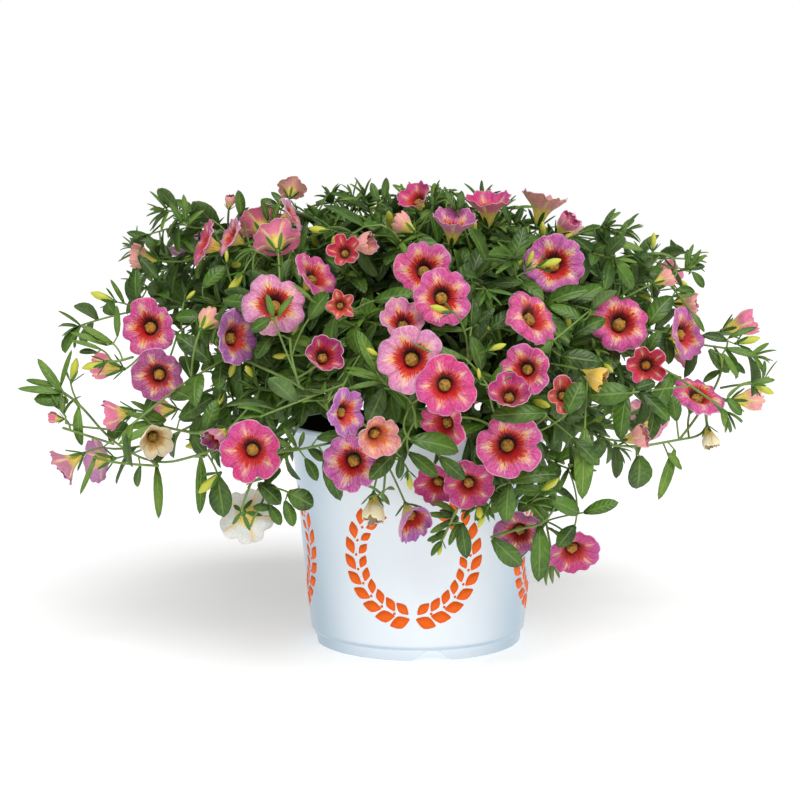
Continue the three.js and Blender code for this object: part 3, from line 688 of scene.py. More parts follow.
SMALL_BLOOMS = [
    (-30, 85, 126, 0, -60, 13, "cream", "bell"),
    (99, 165, 160, 10, 10, 12, "ember", "curled"),
    (-178, 135, 78, 20, -12, 14, "cream", "funnel"),
    (-115, 82, 122, 172, -20, 17, "white", "open"),
    (198, 134, 44, 20, -65, 11, "cream", "bell"),
    (-83, 287, 66, 80, 30, 12, "pale", "open"),
    (-84, 304, 4, 170, 45, 10, "peach", "open"),
    (-127, 272, 66, -65, 25, 13, "pale", "open"),
    (-186, 258, 24, -100, 10, 14, "peach", "half"),
    (47, 294, 44, 0, 75, 17, "hot", "cupped"),
    (24, 281, 88, 15, 68, 16, "orchid", "cupped"),
    (100, 281, 34, 50, 40, 12, "pink", "half"),
    (-35, 267, 118, 60, 10, 12, "peach", "half"),
    (-67, 247, 112, 50, 40, 16, "pink", "open"),
    (183, 227, 26, 80, 0, 12, "peach", "half"),
    (150, 137, 104, 60, 15, 12, "peach", "half"),
    (121, 177, 130, 60, -20, 12, "gold", "half"),
    (-141, 216, 104, 160, 30, 12, "peach", "half"),
    (166, 244, 46, 110, 20, 10, "peach", "half"),
    (-137, 136, 138, -35, -20, 12, "dusk", "half"),
    (-246, 150, 56, -95, 8, 7, "hot", "bell"),
    (-10, 280, 92, -125, 30, 11, "peach", "half"),
    (-95, 271, 84, -170, 35, 15, "pink", "open"),
    (-125, 296, 50, 30, 65, 7, "peach", "bell"),
]
BACK_BLOOMS = 28
BACK_BLOOM_NODES = 14
BACK_TINTS = ["pink", "lilac", "hot", "pale", "magenta", "pink", "peach"]
BACK_FORMS = ["open", "open", "cupped", "open", "half"]
# The ones that stand clear of the leaves on the right are closing.
CLOSING_BACK_BLOOMS = (6, 14)
BACK_TURNS = (2, 178)
BACK_FIRST_SHARE = 0.35
BACK_HEIGHTS = (100, 298)
# Below 1, they crowd towards the top.
BACK_CROWDING = 0.85
BACK_PITCHES = (-25, 70)
BACK_PITCH_SPREAD = (-12, 12)
BACK_YAW_SPREAD = (-28, 28)
BACK_RADII = (15, 18.5)
BACK_DEPTH = 6
BACK_STRIDE = 11
BACK_SEED = 200
SMALL_SEED = 100
BLOOM_RADIUS = 17.5
CANOPY_SIDE = 250
CANOPY_FRONT = 210
CANOPY_TOP = 306
CANOPY_WAIST = 150
CANOPY_FLOOR = 80
CANOPY_BULGE = 1.35


# %% Blooms in space
class Bloom:
    def __init__(self, centre, looks_at, radius, tint, form, seed, front):
        self.centre = centre
        self.facing = looks_at
        self.radius = radius
        self.tint = tint
        self.form = form
        self.seed = seed
        self.front = front
        self.side = UP.cross(looks_at).normalized()
        self.over = looks_at.cross(self.side)
        self.scale = radius / BLOOM_RADIUS
        self.matrix = framed(centre, self.side, self.over, looks_at) @ Matrix.Scale(self.scale, 4)

    def behind(self, distance):
        return self.centre - self.facing * (distance * self.scale)


def sight_point(across, height, depth):
    """The place on a line of sight that lies so far in front of the pot's middle plane."""
    return CAMERA_PLACE.lerp(Vector((across, 0, height)), 1 + depth / CAMERA_PLACE.y)


def front_bloom(number, row):
    across, height, depth, yaw, pitch, radius, tint, form = row
    looks_at = facing(math.radians(yaw - 90), math.radians(pitch))
    return Bloom(sight_point(across, height, depth), looks_at, radius, tint, form, number, front=True)


def canopy_radius(turn, height):
    """How far the mass of leaves reaches, as half an egg on half a flatter one."""
    plan = 1 / math.hypot(math.cos(turn) / CANOPY_SIDE, math.sin(turn) / CANOPY_FRONT)
    above = height > CANOPY_WAIST
    half = CANOPY_TOP - CANOPY_WAIST if above else (CANOPY_WAIST - CANOPY_FLOOR) * CANOPY_BULGE
    return plan * math.sqrt(max(0, 1 - ((height - CANOPY_WAIST) / half) ** 2))


def back_bloom(index):
    share = (index + 0.5) / BACK_BLOOMS
    turn = math.radians(mix(*BACK_TURNS, (index * GOLDEN + BACK_FIRST_SHARE) % 1))
    height = mix(*BACK_HEIGHTS, share**BACK_CROWDING)
    pitch = math.radians(mix(*BACK_PITCHES, share) + draw(index, *BACK_PITCH_SPREAD))
    centre = polar(canopy_radius(turn, height) - BACK_DEPTH, turn, height)
    looks_at = facing(turn + math.radians(draw(index + 50, *BACK_YAW_SPREAD)), pitch)
    radius = draw(index + 90, *BACK_RADII)
    tint = BACK_TINTS[index % len(BACK_TINTS)]
    form = "bell" if index in CLOSING_BACK_BLOOMS else BACK_FORMS[index % len(BACK_FORMS)]
    return Bloom(centre, looks_at, radius, tint, form, BACK_SEED + index, front=False)


back_blooms = [back_bloom(index * BACK_STRIDE % BACK_BLOOMS) for index in range(BACK_BLOOMS)]
large = [front_bloom(number, row) for number, row in enumerate(LARGE_BLOOMS)]
small = [front_bloom(number, row) for number, row in enumerate(SMALL_BLOOMS, SMALL_SEED)]
own_blooms = large + back_blooms[:BACK_BLOOM_NODES]
fused_blooms = small + back_blooms[BACK_BLOOM_NODES:]
all_blooms = own_blooms + fused_blooms
print("blooms:", len(own_blooms), "with a piece of their own and", len(fused_blooms), "in groups")

# %% [markdown]
# ## Petal finishes
#
# A calibrachoa's limb is pink to lilac, with a dark throat. The dark ring is partly its own colour
# and partly painted shade, wider and darker on its upper side, where the deep throat lies in shade.
# Round the throat a red flame runs out into orange and then pale yellow along the middle of every
# lobe, and a thin pale line follows the edge. Thin darker lines between the lobes are painted shade
# in their creases. The skin is so thin that light comes through it, which a faint glow of the back
# stands for.
# A UV map lays the limb on a disc: the distance from its middle says how far out a point is,
# and the turn says where in its lobe. The flame's limits are shifted by a noise that only changes
# with the turn, so that it ends in fine rays. All limits below are shares of the way from the
# throat's middle to the rim.

# %% The petal pattern
LOBES = 5
# Each tint: limb, its pale streaks, the flame, how strong the flame is, how much gold rings it.
TINTS = {
    "pink": ("d02b7c", "ea80b3", "c20f1c", 1.0, 0.8),
    "hot": ("cf166c", "e966a0", "c60f1a", 0.95, 0.35),
    "pale": ("dc72a8", "f4c3d6", "cf1a16", 1.0, 0.85),
    "orchid": ("bd4096", "e392c3", "c4141a", 1.0, 0.85),
    "lilac": ("a84eaa", "d795ca", "c42016", 1.0, 0.8),
    "magenta": ("b4146a", "da5696", "b00e1c", 0.9, 0.22),
    "dusk": ("9c3070", "c7739f", "960e16", 0.95, 0.5),
    "red": ("ca1240", "e54a68", "8f0f1e", 0.65, 0.12),
    "ember": ("cf2c36", "ee7c58", "b0160e", 0.6, 0.25),
    "peach": ("dd7a82", "f1bfa1", "c8542a", 0.6, 0.9),
    "cream": ("f2e8b6", "fcf8e2", "c8962a", 0.45, 0.5),
    "gold": ("e9bd3e", "f7dc7c", "b06a20", 0.5, 0.6),
    "white": ("d2d4d0", "eeece6", "c7a860", 0.3, 0.4),
}
VIOLET = "b06cc6"
PALE_FLAME = 0.55
BLUSH = {"white": "e4e3da", "cream": "efe9c8", "gold": "f2cc5e"}
BLUSH_OF_PINKS = "fbcabd"
GLOW_THROUGH = 0.2
print("tints:", len(TINTS))

# %% A point's place on the limb
class Petal(Paint):
    """A paint that knows its distance from the throat, its turn in a lobe, and the rays there."""

    def __init__(self, name):
        super().__init__(name)
        uv = self.node("UVMap", {"uv_map": "limb"})
        flat = self.vector_math("MULTIPLY_ADD", uv, (2, 2, 0), (-1, -1, 0))
        x, y = (self.axis(flat, name) for name in "XY")
        self.reach = self.node("VectorMath", {"operation": "LENGTH"}, {0: flat}, output="Value")
        phase = (y.math("ARCTAN2", x) * (LOBES / math.tau) + LOBES).math("FRACT")
        self.ray = 1 - (phase - 0.5).math("ABSOLUTE") * 2
        # How far up the limb a point lies; only the painted shade of the throat uses it.
        self.upper = y / (self.reach + 0.01)
        seed = self.node("Attribute", {"attribute_name": "seed"}, output="Fac")
        drift = self.node("CombineXYZ", inputs={"Z": self.reach * 0.5 + seed})
        rays = self.vector_math("MULTIPLY_ADD", self.vector_math("NORMALIZE", flat), (1, 1, 1), drift)
        self.coarse = self.noise(4.0, 2.0, 0.5, rays) - 0.5
        self.fine = self.noise(11.0, 4.0, 0.7, rays) - 0.5
        self.veins = self.noise(20.0, 2.0, 0.5, rays)
        self.spikes = self.noise(13.0, 2.0, 0.6, rays).above(0.36, 0.66)
        self.mottle = self.noise(160.0, 3.0)
        self.drift = self.noise(55.0, 1.0)


# %% The petal's front
def petal_front(name, limb, light, flame, strength, gold):
    """Laid on from the rim to the throat: limb, painted crease shade, pale rays, gold, orange, red, a
    dark ring that is partly painted shade, eye.
    """
    ember = flame if strength < PALE_FLAME else "d92f1e"
    paint = Petal(name)
    reach, ray, coarse, spikes = paint.reach, paint.ray, paint.coarse, paint.spikes
    streaks = paint.veins.above(0.4, 0.62)
    face = paint.mix(streaks * 0.45 + paint.mottle.above(0.35, 0.7) * 0.2, limb, light)
    face = paint.mix(reach.above(0.6, 1.0) * paint.drift.above(0.4, 0.65) * 0.28, face, VIOLET)
    # Painted shade in the creases between the lobes, from the middle of the limb to the rim.
    face = paint.mix(ray.below(0.0, 0.13) * reach.above(0.3, 0.6) * 0.35, face, "8a1c4c")
    star = (ray + 0.7 * paint.fine).above(0.42, 0.8)
    red_end = 0.37 + 0.15 * spikes + 0.14 * coarse + 0.05 * ray
    gold_end = red_end + 0.03 + 0.09 * spikes + 0.06 * star
    pale_end = gold_end + 0.1 + 0.16 * star
    pale = (pale_end - reach).above(0.0, 0.2) * (0.2 + 0.45 * streaks + 0.3 * star)
    face = paint.mix(pale * (gold * 0.72), face, "fbdccb")
    thread = (ray + 0.25 * paint.fine).above(0.84, 0.96) * reach.below(0.6, 0.95)
    face = paint.mix(thread * 0.6, face, "fbe2b2")
    golden = (gold_end - reach).above(-0.04, 0.06) * (0.5 + 0.5 * star)
    face = paint.mix(golden * gold, face, "f8ae36")
    face = paint.mix((red_end + 0.04 - reach).above(-0.05, 0.05) * (0.9 * strength), face, ember)
    face = paint.mix((red_end - 0.04 - reach).above(-0.06, 0.06) * strength, face, flame)
    # The dark ring is partly the throat's own colour and partly painted shade: it reaches further and
    # is darker on its upper side, where the deep throat is in shade.
    dark_ring_and_shade_end = 0.23 + 0.12 * spikes + 0.11 * paint.upper
    dark = (dark_ring_and_shade_end - reach).above(-0.05, 0.05) * (0.56 + 0.38 * paint.upper)
    face = paint.mix(dark * strength, face, "400614")
    face = paint.mix(reach.below(0.13, 0.22) * 0.9, face, "7c4414")
    face = paint.mix(reach.above(0.955, 0.985) * 0.5, face, "fbdde2")
    paint.finish(Base_Color=face, Roughness=0.55, Sheen_Weight=0.2, Sheen_Roughness=0.4)
    paint.bump(paint.veins * reach.above(0.2, 0.5) + 0.8 * ray.below(0.0, 0.2), 0.0009, 0.7)
    return paint.material


print("a flame weaker than", PALE_FLAME, "has no orange-red edge of its own")

# %% The petal's back
def petal_back(name, limb, light, blush):
    """Paler than the front, with a yellow, dark-veined tube and a yellow ray along each lobe."""
    paint = Petal(name)
    reach, ray = paint.reach, paint.ray
    face = paint.mix(paint.veins.above(0.42, 0.64) * 0.6, limb, light)
    face = paint.mix(0.12 + 0.2 * paint.mottle, face, blush)
    thread = (ray + 0.3 * paint.fine).above(0.74, 0.93) * reach.below(0.6, 1.05)
    face = paint.mix(thread * 0.85, face, "f2d094")
    tube = paint.mix(paint.veins.above(0.5, 0.62) * 0.75, "e8cb5c", "8d7430")
    face = paint.mix((reach + paint.fine * 0.25).below(0.26, 0.48), face, tube)
    glow = {"Emission_Color": face, "Emission_Strength": GLOW_THROUGH}
    paint.finish(Base_Color=face, Roughness=0.6, Sheen_Weight=0.2, **glow)
    paint.bump(paint.veins * reach.above(0.2, 0.5) + ray.above(0.85, 1.0), 0.0007, 0.7)
    return paint.material


petal_paints = {}
for tint, (limb, light, flame, strength, gold) in TINTS.items():
    blush = BLUSH.get(tint, BLUSH_OF_PINKS)
    front = petal_front(f"petal_{tint}", limb, light, flame, strength, gold)
    petal_paints[tint] = [front, petal_back(f"petal_back_{tint}", limb, light, blush)]
print("petal finishes:", ", ".join(petal_paints))

# %% [markdown]
# ## One trumpet
#
# The corolla is one skin: a narrow tube that flares into a limb of five shallow lobes, each with a
# small notch in its middle. It starts as a ring and is extruded step by step along a profile, and
# each new ring is shaped by its turn: drawn in between lobes, waved, tilted, cupped or folded. The
# skin is then pushed out along its normals into a thin solid, and its back gets the second finish.

# %% Corolla
# Each step of the profile: share of the limb, radius, distance in front of the limb's middle.
TRUMPET = [
    (0, 1.9, -15),
    (0, 2.9, -12.2),
    (0, 4.0, -9.4),
    (0.02, 5.1, -7.0),
    (0.06, 6.2, -5.1),
    (0.14, 7.6, -3.5),
    (0.27, 9.4, -2.2),
    (0.43, 11.4, -1.2),
    (0.6, 13.4, -0.5),
    (0.77, 15.3, 0),
    (0.91, 17, 0.15),
    (1, 17.9, -0.3),
]
# Each form: how far the rim comes forward, how far it closes, how deep the clefts between lobes
# are, how pointed the lobes are, and how far two sides fold together.
FORMS = {
    "open": (-0.6, 0, 0.15, 0, 0),
    "reflexed": (-4.5, 0.04, 0.16, 0, 0),
    "cupped": (4.5, 0.14, 0.14, 0, 0),
    "funnel": (7, 0.16, 0.08, 0.18, 0.08),
    "folded": (1.5, 0.05, 0.15, 0, 0.42),
    "curled": (5, 0.06, 0.3, 0.12, 0),
    "star": (3, 0, 0.1, 0.5, 0),
    "half": (6, 0.4, 0.18, 0, 0.15),
    "bell": (7, 0.5, 0.2, 0.08, 0.1),
}
NOTCH_DEPTH = 0.035
RIM_WAVE = 1.1
LOBE_TILT = (-3.4, 2.4)
LOBE_REACH = (-0.07, 0.06)
print("forms of the trumpet:", ", ".join(FORMS))


# %% Where a point of the trumpet goes
def shaped(turn, share, radius, along, bloom):
    """Shapes a point of a round trumpet. Its share is 0 in the tube and 1 at the rim."""
    cup, close, cleft, point, fold = FORMS[bloom.form]
    seed = bloom.seed * 7
    # The lobes are not quite as wide as one another.
    uneven = 0.12 * math.sin(turn + draw(seed, 0, 6))
    uneven += 0.07 * math.sin(2 * turn + draw(seed + 1, 0, 6))
    place = (turn + uneven) / math.tau * LOBES % LOBES
    phase, lobe, valley = place % 1, int(place) % LOBES, round(place) % LOBES
    lobe_seed = seed + lobe
    hump = math.sin(math.pi * phase)
    # Clefts between the lobes, a notch in the middle of each, and lobes of uneven length.
    between = bell(min(phase, 1 - phase), 0.09 + 0.25 * cleft) * draw(seed + valley + 15, 0.6, 1.4)
    middle = bell(phase - 0.5, 0.08) * draw(lobe_seed + 41, -0.2, 1.6)
    radius *= 1 - share**2 * (cleft * between + NOTCH_DEPTH * middle) - share * close
    radius *= 1 - share**2 * point * abs(2 * phase - 1)
    radius *= 1 + share * draw(lobe_seed, *LOBE_REACH) * hump
    # A rim that waves twice in each lobe with a ripple on it, and lobes that hang or rise.
    wave = math.sin(math.tau * (2 * phase + draw(lobe_seed + 31, -0.15, 0.15)))
    wave += 0.7 * share * math.sin(math.tau * (4 * phase + draw(lobe_seed + 73, -0.3, 0.3)))
    tilt = draw(lobe_seed + 57, *LOBE_TILT) * hump**2
    along += share**2 * (cup + RIM_WAVE * hump * wave + tilt)
    along += 0.8 * share * (1 - share) * math.cos(math.tau * 2 * phase)
    along -= share * (0.6 * middle + between)
    # A fold draws two opposite sides in and brings them forward.
    x, y = radius * math.cos(turn), radius * math.sin(turn)
    fold_turn = draw(bloom.seed + 5, 0, math.pi)
    across = x * math.cos(fold_turn) + y * math.sin(fold_turn)
    x -= across * fold * share * math.cos(fold_turn)
    y -= across * fold * share * math.sin(fold_turn)
    along += fold * share * abs(across) * 0.75
    return Vector((x, y, along))


# %% The trumpet's skin
def corolla(bloom, sides):
    """Grows the skin ring by ring, and lays its UV map on a disc."""
    bm = bmesh.new()
    uv_layer = bm.loops.layers.uv.new("limb")
    reach_layer = bm.verts.layers.float.new("reach")
    turn_layer = bm.verts.layers.float.new("turn")
    seed_layer = bm.verts.layers.float.new("seed")
    made = bmesh.ops.create_circle(bm, cap_ends=True, segments=sides, radius=1)
    ring = made["verts"]
    for vert in ring:
        vert[turn_layer] = math.atan2(vert.co.y, vert.co.x) % math.tau
    for step, (share, radius, along) in enumerate(TRUMPET):
        if step:
            edges = [edge for edge in bm.edges if edge.verts[0] in ring and edge.verts[1] in ring]
            grown = bmesh.ops.extrude_edge_only(bm, edges=edges)["geom"]
            ring = {item for item in grown if isinstance(item, bmesh.types.BMVert)}
        ring = set(ring)
        for vert in ring:
            vert[reach_layer] = radius / TRUMPET[-1][1]
            vert[seed_layer] = draw(bloom.seed, 0, 20)
            vert.co = shaped(vert[turn_layer], share, radius, along, bloom)
    for face in bm.faces:
        for loop in face.loops:
            half_reach, turn = 0.5 * loop.vert[reach_layer], loop.vert[turn_layer]
            loop[uv_layer].uv = (0.5 + half_reach * math.cos(turn), 0.5 + half_reach * math.sin(turn))
    bmesh.ops.recalc_face_normals(bm, faces=bm.faces[:])
    tube = [face for face in bm.faces if face.calc_center_median().z < -9 and len(face.verts) == 4]
    if sum(face.normal.dot(face.calc_center_median() * Vector((1, 1, 0))) for face in tube) > 0:
        bmesh.ops.reverse_faces(bm, faces=bm.faces[:])
    return bm


# %% [markdown]
# ## The eye
#
# Deep in the throat the anthers and the stigma press together into one knob, olive and ochre with
# an orange side. It is a small ball with five uneven ones round it, made once, and every bloom gets
# a copy that is turned its own way.

# %% Anthers
EYE_RADIUS = 3.7
EYE_HEIGHT = -7.2
ANTHER_RADIUS = 1.1
ANTHER_RING = 1.9
ANTHER_HEIGHT = -5.9


def eye_mesh():
    """A flattened ball with a ring of uneven anthers, in the bloom's own frame."""
    bm = bmesh.new()
    flat = Matrix.Translation((0, 0, EYE_HEIGHT)) @ Matrix.Diagonal((1, 1, 0.8, 1))
    bmesh.ops.create_icosphere(bm, subdivisions=2, radius=EYE_RADIUS, matrix=flat)
    for anther in range(LOBES):
        every_third, every_other = anther % 3, anther % 2
        turn = math.tau * (anther + 0.3) / LOBES
        place = polar(ANTHER_RING + 0.3 * every_third, turn, ANTHER_HEIGHT + 0.5 * every_other)
        radius = ANTHER_RADIUS + 0.2 * every_other
        bmesh.ops.create_icosphere(bm, subdivisions=2, radius=radius, matrix=Matrix.Translation(place))
    return template("eye", bm)


anther_paint = Paint("anthers")
dust = anther_paint.noise(900.0)
patch = anther_paint.noise(260.0, 1.0).above(0.4, 0.6)
pollen = anther_paint.mix(dust.above(0.35, 0.7), "665a1c", "b8943a")
pollen = anther_paint.mix(patch * 0.5, pollen, "d88a2a")
anther_paint.finish(Base_Color=pollen, Roughness=0.7)
anther_paint.bump(dust, 0.0003)
eye = eye_mesh()
print("faces of an eye:", len(eye.polygons))

# %% Own blooms
PETAL_THICKNESS = 0.45
LARGE_SIDES = 70
SMALL_SIDES = 50


def thickened(bm, thickness):
    """Closes a skin into a thin solid whose back has the next material."""
    made = bmesh.ops.extrude_face_region(bm, geom=bm.faces[:], use_keep_orig=True)["geom"]
    bm.normal_update()
    for item in made:
        if isinstance(item, bmesh.types.BMVert):
            item.co -= item.normal * thickness
        elif isinstance(item, bmesh.types.BMFace):
            item.material_index = 1
    bmesh.ops.recalc_face_normals(bm, faces=bm.faces[:])
    return bm


def bloom_piece(name, blooms, sides, nodes=()):
    """One piece for one bloom or several, with a front and a back finish for each of their tints."""
    bm = bmesh.new()
    tints = sorted({bloom.tint for bloom in blooms})
    materials = [material for tint in tints for material in petal_paints[tint]]
    for bloom in blooms:
        skin = template("corolla", thickened(corolla(bloom, sides), PETAL_THICKNESS))
        for face in add_copy(bm, skin, bloom.matrix):
            face.material_index += 2 * tints.index(bloom.tint)
        bpy.data.meshes.remove(skin)
        eye_turn = Matrix.Rotation(bloom.seed * GOLDEN_TURN, 4, "Z")
        for face in add_copy(bm, eye, bloom.matrix @ eye_turn):
            face.material_index = len(materials)
    piece(name, bm, [*materials, anther_paint.material], nodes)


for number, bloom in enumerate(own_blooms, 1):
    bloom_piece(f"trumpet_{number:02d}", [bloom], LARGE_SIDES, [f"bloom_{number:02d}"])
print("trumpets:", len(own_blooms))

# %% [markdown]
# ## The shoots
#
# Eight branches rise from the soil, arch over the rim and fork into shoots. These are the rows of
# the plain model: turn from the branch's middle, reach, height of the tip, and the heights of the
# two control points of the arch. Where a shoot would run through a bloom, it is pushed behind it.

# %% Shoot lists
BRANCHES = {
    "front": [
        (10, 50, 300, 230, 280), (-12, 118, 282, 240, 280), (14, 162, 240, 240, 255),
        (-14, 200, 178, 240, 215), (-9, 146, 104, 250, 215), (15, 138, 112, 250, 215),
    ],
    "front_right": [
        (-8, 60, 297, 230, 280), (12, 140, 278, 240, 275), (-14, 186, 230, 240, 250),
        (12, 222, 166, 240, 210), (-6, 133, 66, 250, 210),
    ],
    "right": [
        (10, 60, 292, 230, 275), (-12, 140, 276, 240, 272), (8, 190, 256, 240, 262),
        (-12, 224, 194, 235, 215), (14, 274, 172, 250, 110),
    ],
    "back_right": [
        (-10, 55, 299, 230, 282), (12, 150, 282, 240, 280), (-13, 196, 234, 240, 252),
        (11, 226, 172, 240, 212), (-2, 212, 110, 250, 140),
    ],
    "back": [
        (12, 50, 302, 230, 285), (-12, 125, 286, 240, 284), (13, 176, 244, 240, 258),
        (-14, 200, 182, 240, 218), (1, 196, 112, 250, 150),
    ],
    "back_left": [
        (9, 56, 300, 230, 282), (-12, 148, 286, 240, 284), (13, 198, 236, 240, 254),
        (-12, 226, 176, 240, 214), (1, 214, 114, 250, 140),
    ],
    "left": [
        (-10, 60, 298, 230, 280), (12, 170, 288, 245, 292), (-8, 196, 264, 240, 275),
        (5, 228, 212, 240, 235), (14, 251, 165, 250, 66),
    ],
    "front_left": [
        (9, 60, 299, 230, 282), (-12, 150, 284, 240, 282), (12, 190, 232, 240, 250),
        (-6, 222, 160, 240, 204), (9, 172, 100, 250, 160),
    ],
}
SECTORS = list(BRANCHES)
SECTOR_WIDTH = math.tau / len(SECTORS)
BRANCH_RING = 18
BRANCH_RADIUS = 1.9
SHOOT_RADIUS = 1.3
TIP_RADIUS = 0.7
ROOT_STRETCH = 25
ROOT_DEPTH = 8.7
FORK_START = 7
FORK_STEP = 7
CURVE_STEPS = 60
SHOOT_STEPS = 36


def sector_turn(sector):
    return sector * SECTOR_WIDTH - math.pi / 2


def sector_of(point):
    return round((math.atan2(point.y, point.x) + math.pi / 2) / SECTOR_WIDTH) % len(SECTORS)


print("branches:", ", ".join(SECTORS))

# %% Behind the blooms
TUBE_CLEARANCE = 22
LIMB_CLEARANCE = 9
# The first clearance gives way to the second between these distances from the bloom's axis.
TUBE_REACH = (4, 11)
NEAR_MARGIN = 3
NEAR_SHARE = 1.8
FREE_SPACE = 40
FAR_SQUARED = 4000


def bent_clear(point):
    """Moves a point of a shoot back behind each bloom that the shoot would run through."""
    moved = point.copy()
    for bloom in all_blooms:
        offset = moved - bloom.centre
        along = offset.dot(bloom.facing)
        if along > FREE_SPACE or offset.length_squared > FAR_SQUARED:
            continue
        across = (offset - bloom.facing * along).length
        behind = mix(TUBE_CLEARANCE, LIMB_CLEARANCE, smooth(across, *TUBE_REACH)) * bloom.scale
        near = 1 - smooth(across, bloom.radius + NEAR_MARGIN, bloom.radius * NEAR_SHARE)
        near *= 1 - smooth(along, TUBE_CLEARANCE, FREE_SPACE)
        moved -= bloom.facing * (near * max(0, along + behind))
    return moved


print("a shoot passes a trumpet's tube", TUBE_CLEARANCE, "mm behind the limb")


# %% A shoot as a measured path
class Path:
    """Points along a stem, with distances from its root."""

    HALF_SPAN = 3

    def __init__(self, points, start_radius, end_radius):
        self.points = points
        self.distances = [0]
        for first, second in zip(points, points[1:]):
            self.distances.append(self.distances[-1] + (second - first).length)
        self.length = self.distances[-1]
        self.start_radius = start_radius
        self.end_radius = end_radius

    def at(self, distance):
        distance = min(self.length, max(0, distance))
        for number, end in enumerate(self.distances[1:]):
            if distance <= end:
                start = self.distances[number]
                share = (distance - start) / max(1e-6, end - start)
                return self.points[number].lerp(self.points[number + 1], share)
        return self.points[-1].copy()

    def direction(self, distance):
        span = self.at(distance + self.HALF_SPAN) - self.at(distance - self.HALF_SPAN)
        return span.normalized()

    def radius(self, distance):
        return mix(self.start_radius, self.end_radius, math.sqrt(min(1, distance / self.length)))


def bezier(corners, steps):
    """The curve that a few corners pull at, as points, by taking means of means."""
    points = []
    for step in range(steps + 1):
        row = corners
        while len(row) > 1:
            row = [first.lerp(second, step / steps) for first, second in zip(row, row[1:])]
        points.append(row[0])
    return points


# %% The main shoots
# How far along the way to the tip the two control points of the arch are.
FIRST_PULL = 0.3
SECOND_PULL = 0.68


def main_shoot(sector, index, start):
    """A shoot that arches from its start to its tip; the first of a branch is its leader."""
    turn, reach, tip_height, rise, fall = BRANCHES[SECTORS[sector]][index]
    tip = polar(reach, sector_turn(sector) + math.radians(turn), tip_height)
    first = start.lerp(tip, FIRST_PULL if index else 0)
    second = start.lerp(tip, SECOND_PULL)
    first.z, second.z = rise, fall
    curve = Path(bezier([start, first, second, tip], CURVE_STEPS), 1, 1)
    places = [curve.length * step / SHOOT_STEPS for step in range(SHOOT_STEPS + 1)]
    bent = [curve.at(d).lerp(bent_clear(curve.at(d)), smooth(d, 0, ROOT_STRETCH)) for d in places]
    return Path(bent, SHOOT_RADIUS if index else BRANCH_RADIUS, TIP_RADIUS)


shoots = []
for sector, name in enumerate(SECTORS):
    root = polar(BRANCH_RING, sector_turn(sector), SOIL_TOP - ROOT_DEPTH)
    leader = main_shoot(sector, 0, root)
    shoots.append((sector, leader))
    for index in range(1, len(BRANCHES[name])):
        shoots.append((sector, main_shoot(sector, index, leader.at(FORK_START + FORK_STEP * index))))
print("shoots:", len(shoots), "from", round(min(path.length for _, path in shoots)), "mm")

# %% [markdown]
# ## The outline of the plant
#
# The mass of leaves has a ragged outline, which a row of points gives as it is seen from the front:
# how far across and how high the line of sight passes the pot's middle plane. Twigs and their
# leaves stay inside it. Only the long shoots and a few sprays reach out further.

# %% Outline
OUTLINE = [
    (-198, 272), (-180, 290), (-156, 298), (-104, 298), (-80, 304), (-52, 298), (-25, 310),
    (0, 310), (50, 300), (124, 283), (150, 274), (170, 254), (190, 236), (190, 208),
    (174, 194), (166, 162), (165, 110), (150, 102), (132, 120), (117, 94), (96, 68), (76, 74),
    (35, 82), (12, 96), (-12, 115), (-60, 110), (-80, 116), (-86, 96), (-105, 94), (-138, 108),
    (-156, 128), (-162, 148), (-152, 180), (-171, 200), (-196, 206), (-203, 230),
]


def in_outline(point):
    """Counts how many edges lie to the right of a point as it is seen: an odd count is inside."""
    seen = CAMERA_PLACE.lerp(point, CAMERA_PLACE.y / (CAMERA_PLACE.y - point.y))
    inside = False
    for (x0, z0), (x1, z1) in zip(OUTLINE, OUTLINE[1:] + OUTLINE[:1]):
        if (z0 > seen.z) != (z1 > seen.z) and seen.x < x0 + (seen.z - z0) * (x1 - x0) / (z1 - z0):
            inside = not inside
    return inside


print("outline points:", len(OUTLINE))

# %% [markdown]
# ## The leaves and buds in front
#
# Some broad leaves lie over the edges of the front blooms, and the sprays at both ends stand alone
# against the background. Each row sets one leaf as it is seen: the place of its root, its lean from
# the horizontal, its length and width, and how far it stands in front of the blooms around it. The
# rows of buds are alike, without a width. The bare stems that show are rows of points. They pass
# behind the blooms, except for one that crosses in front.

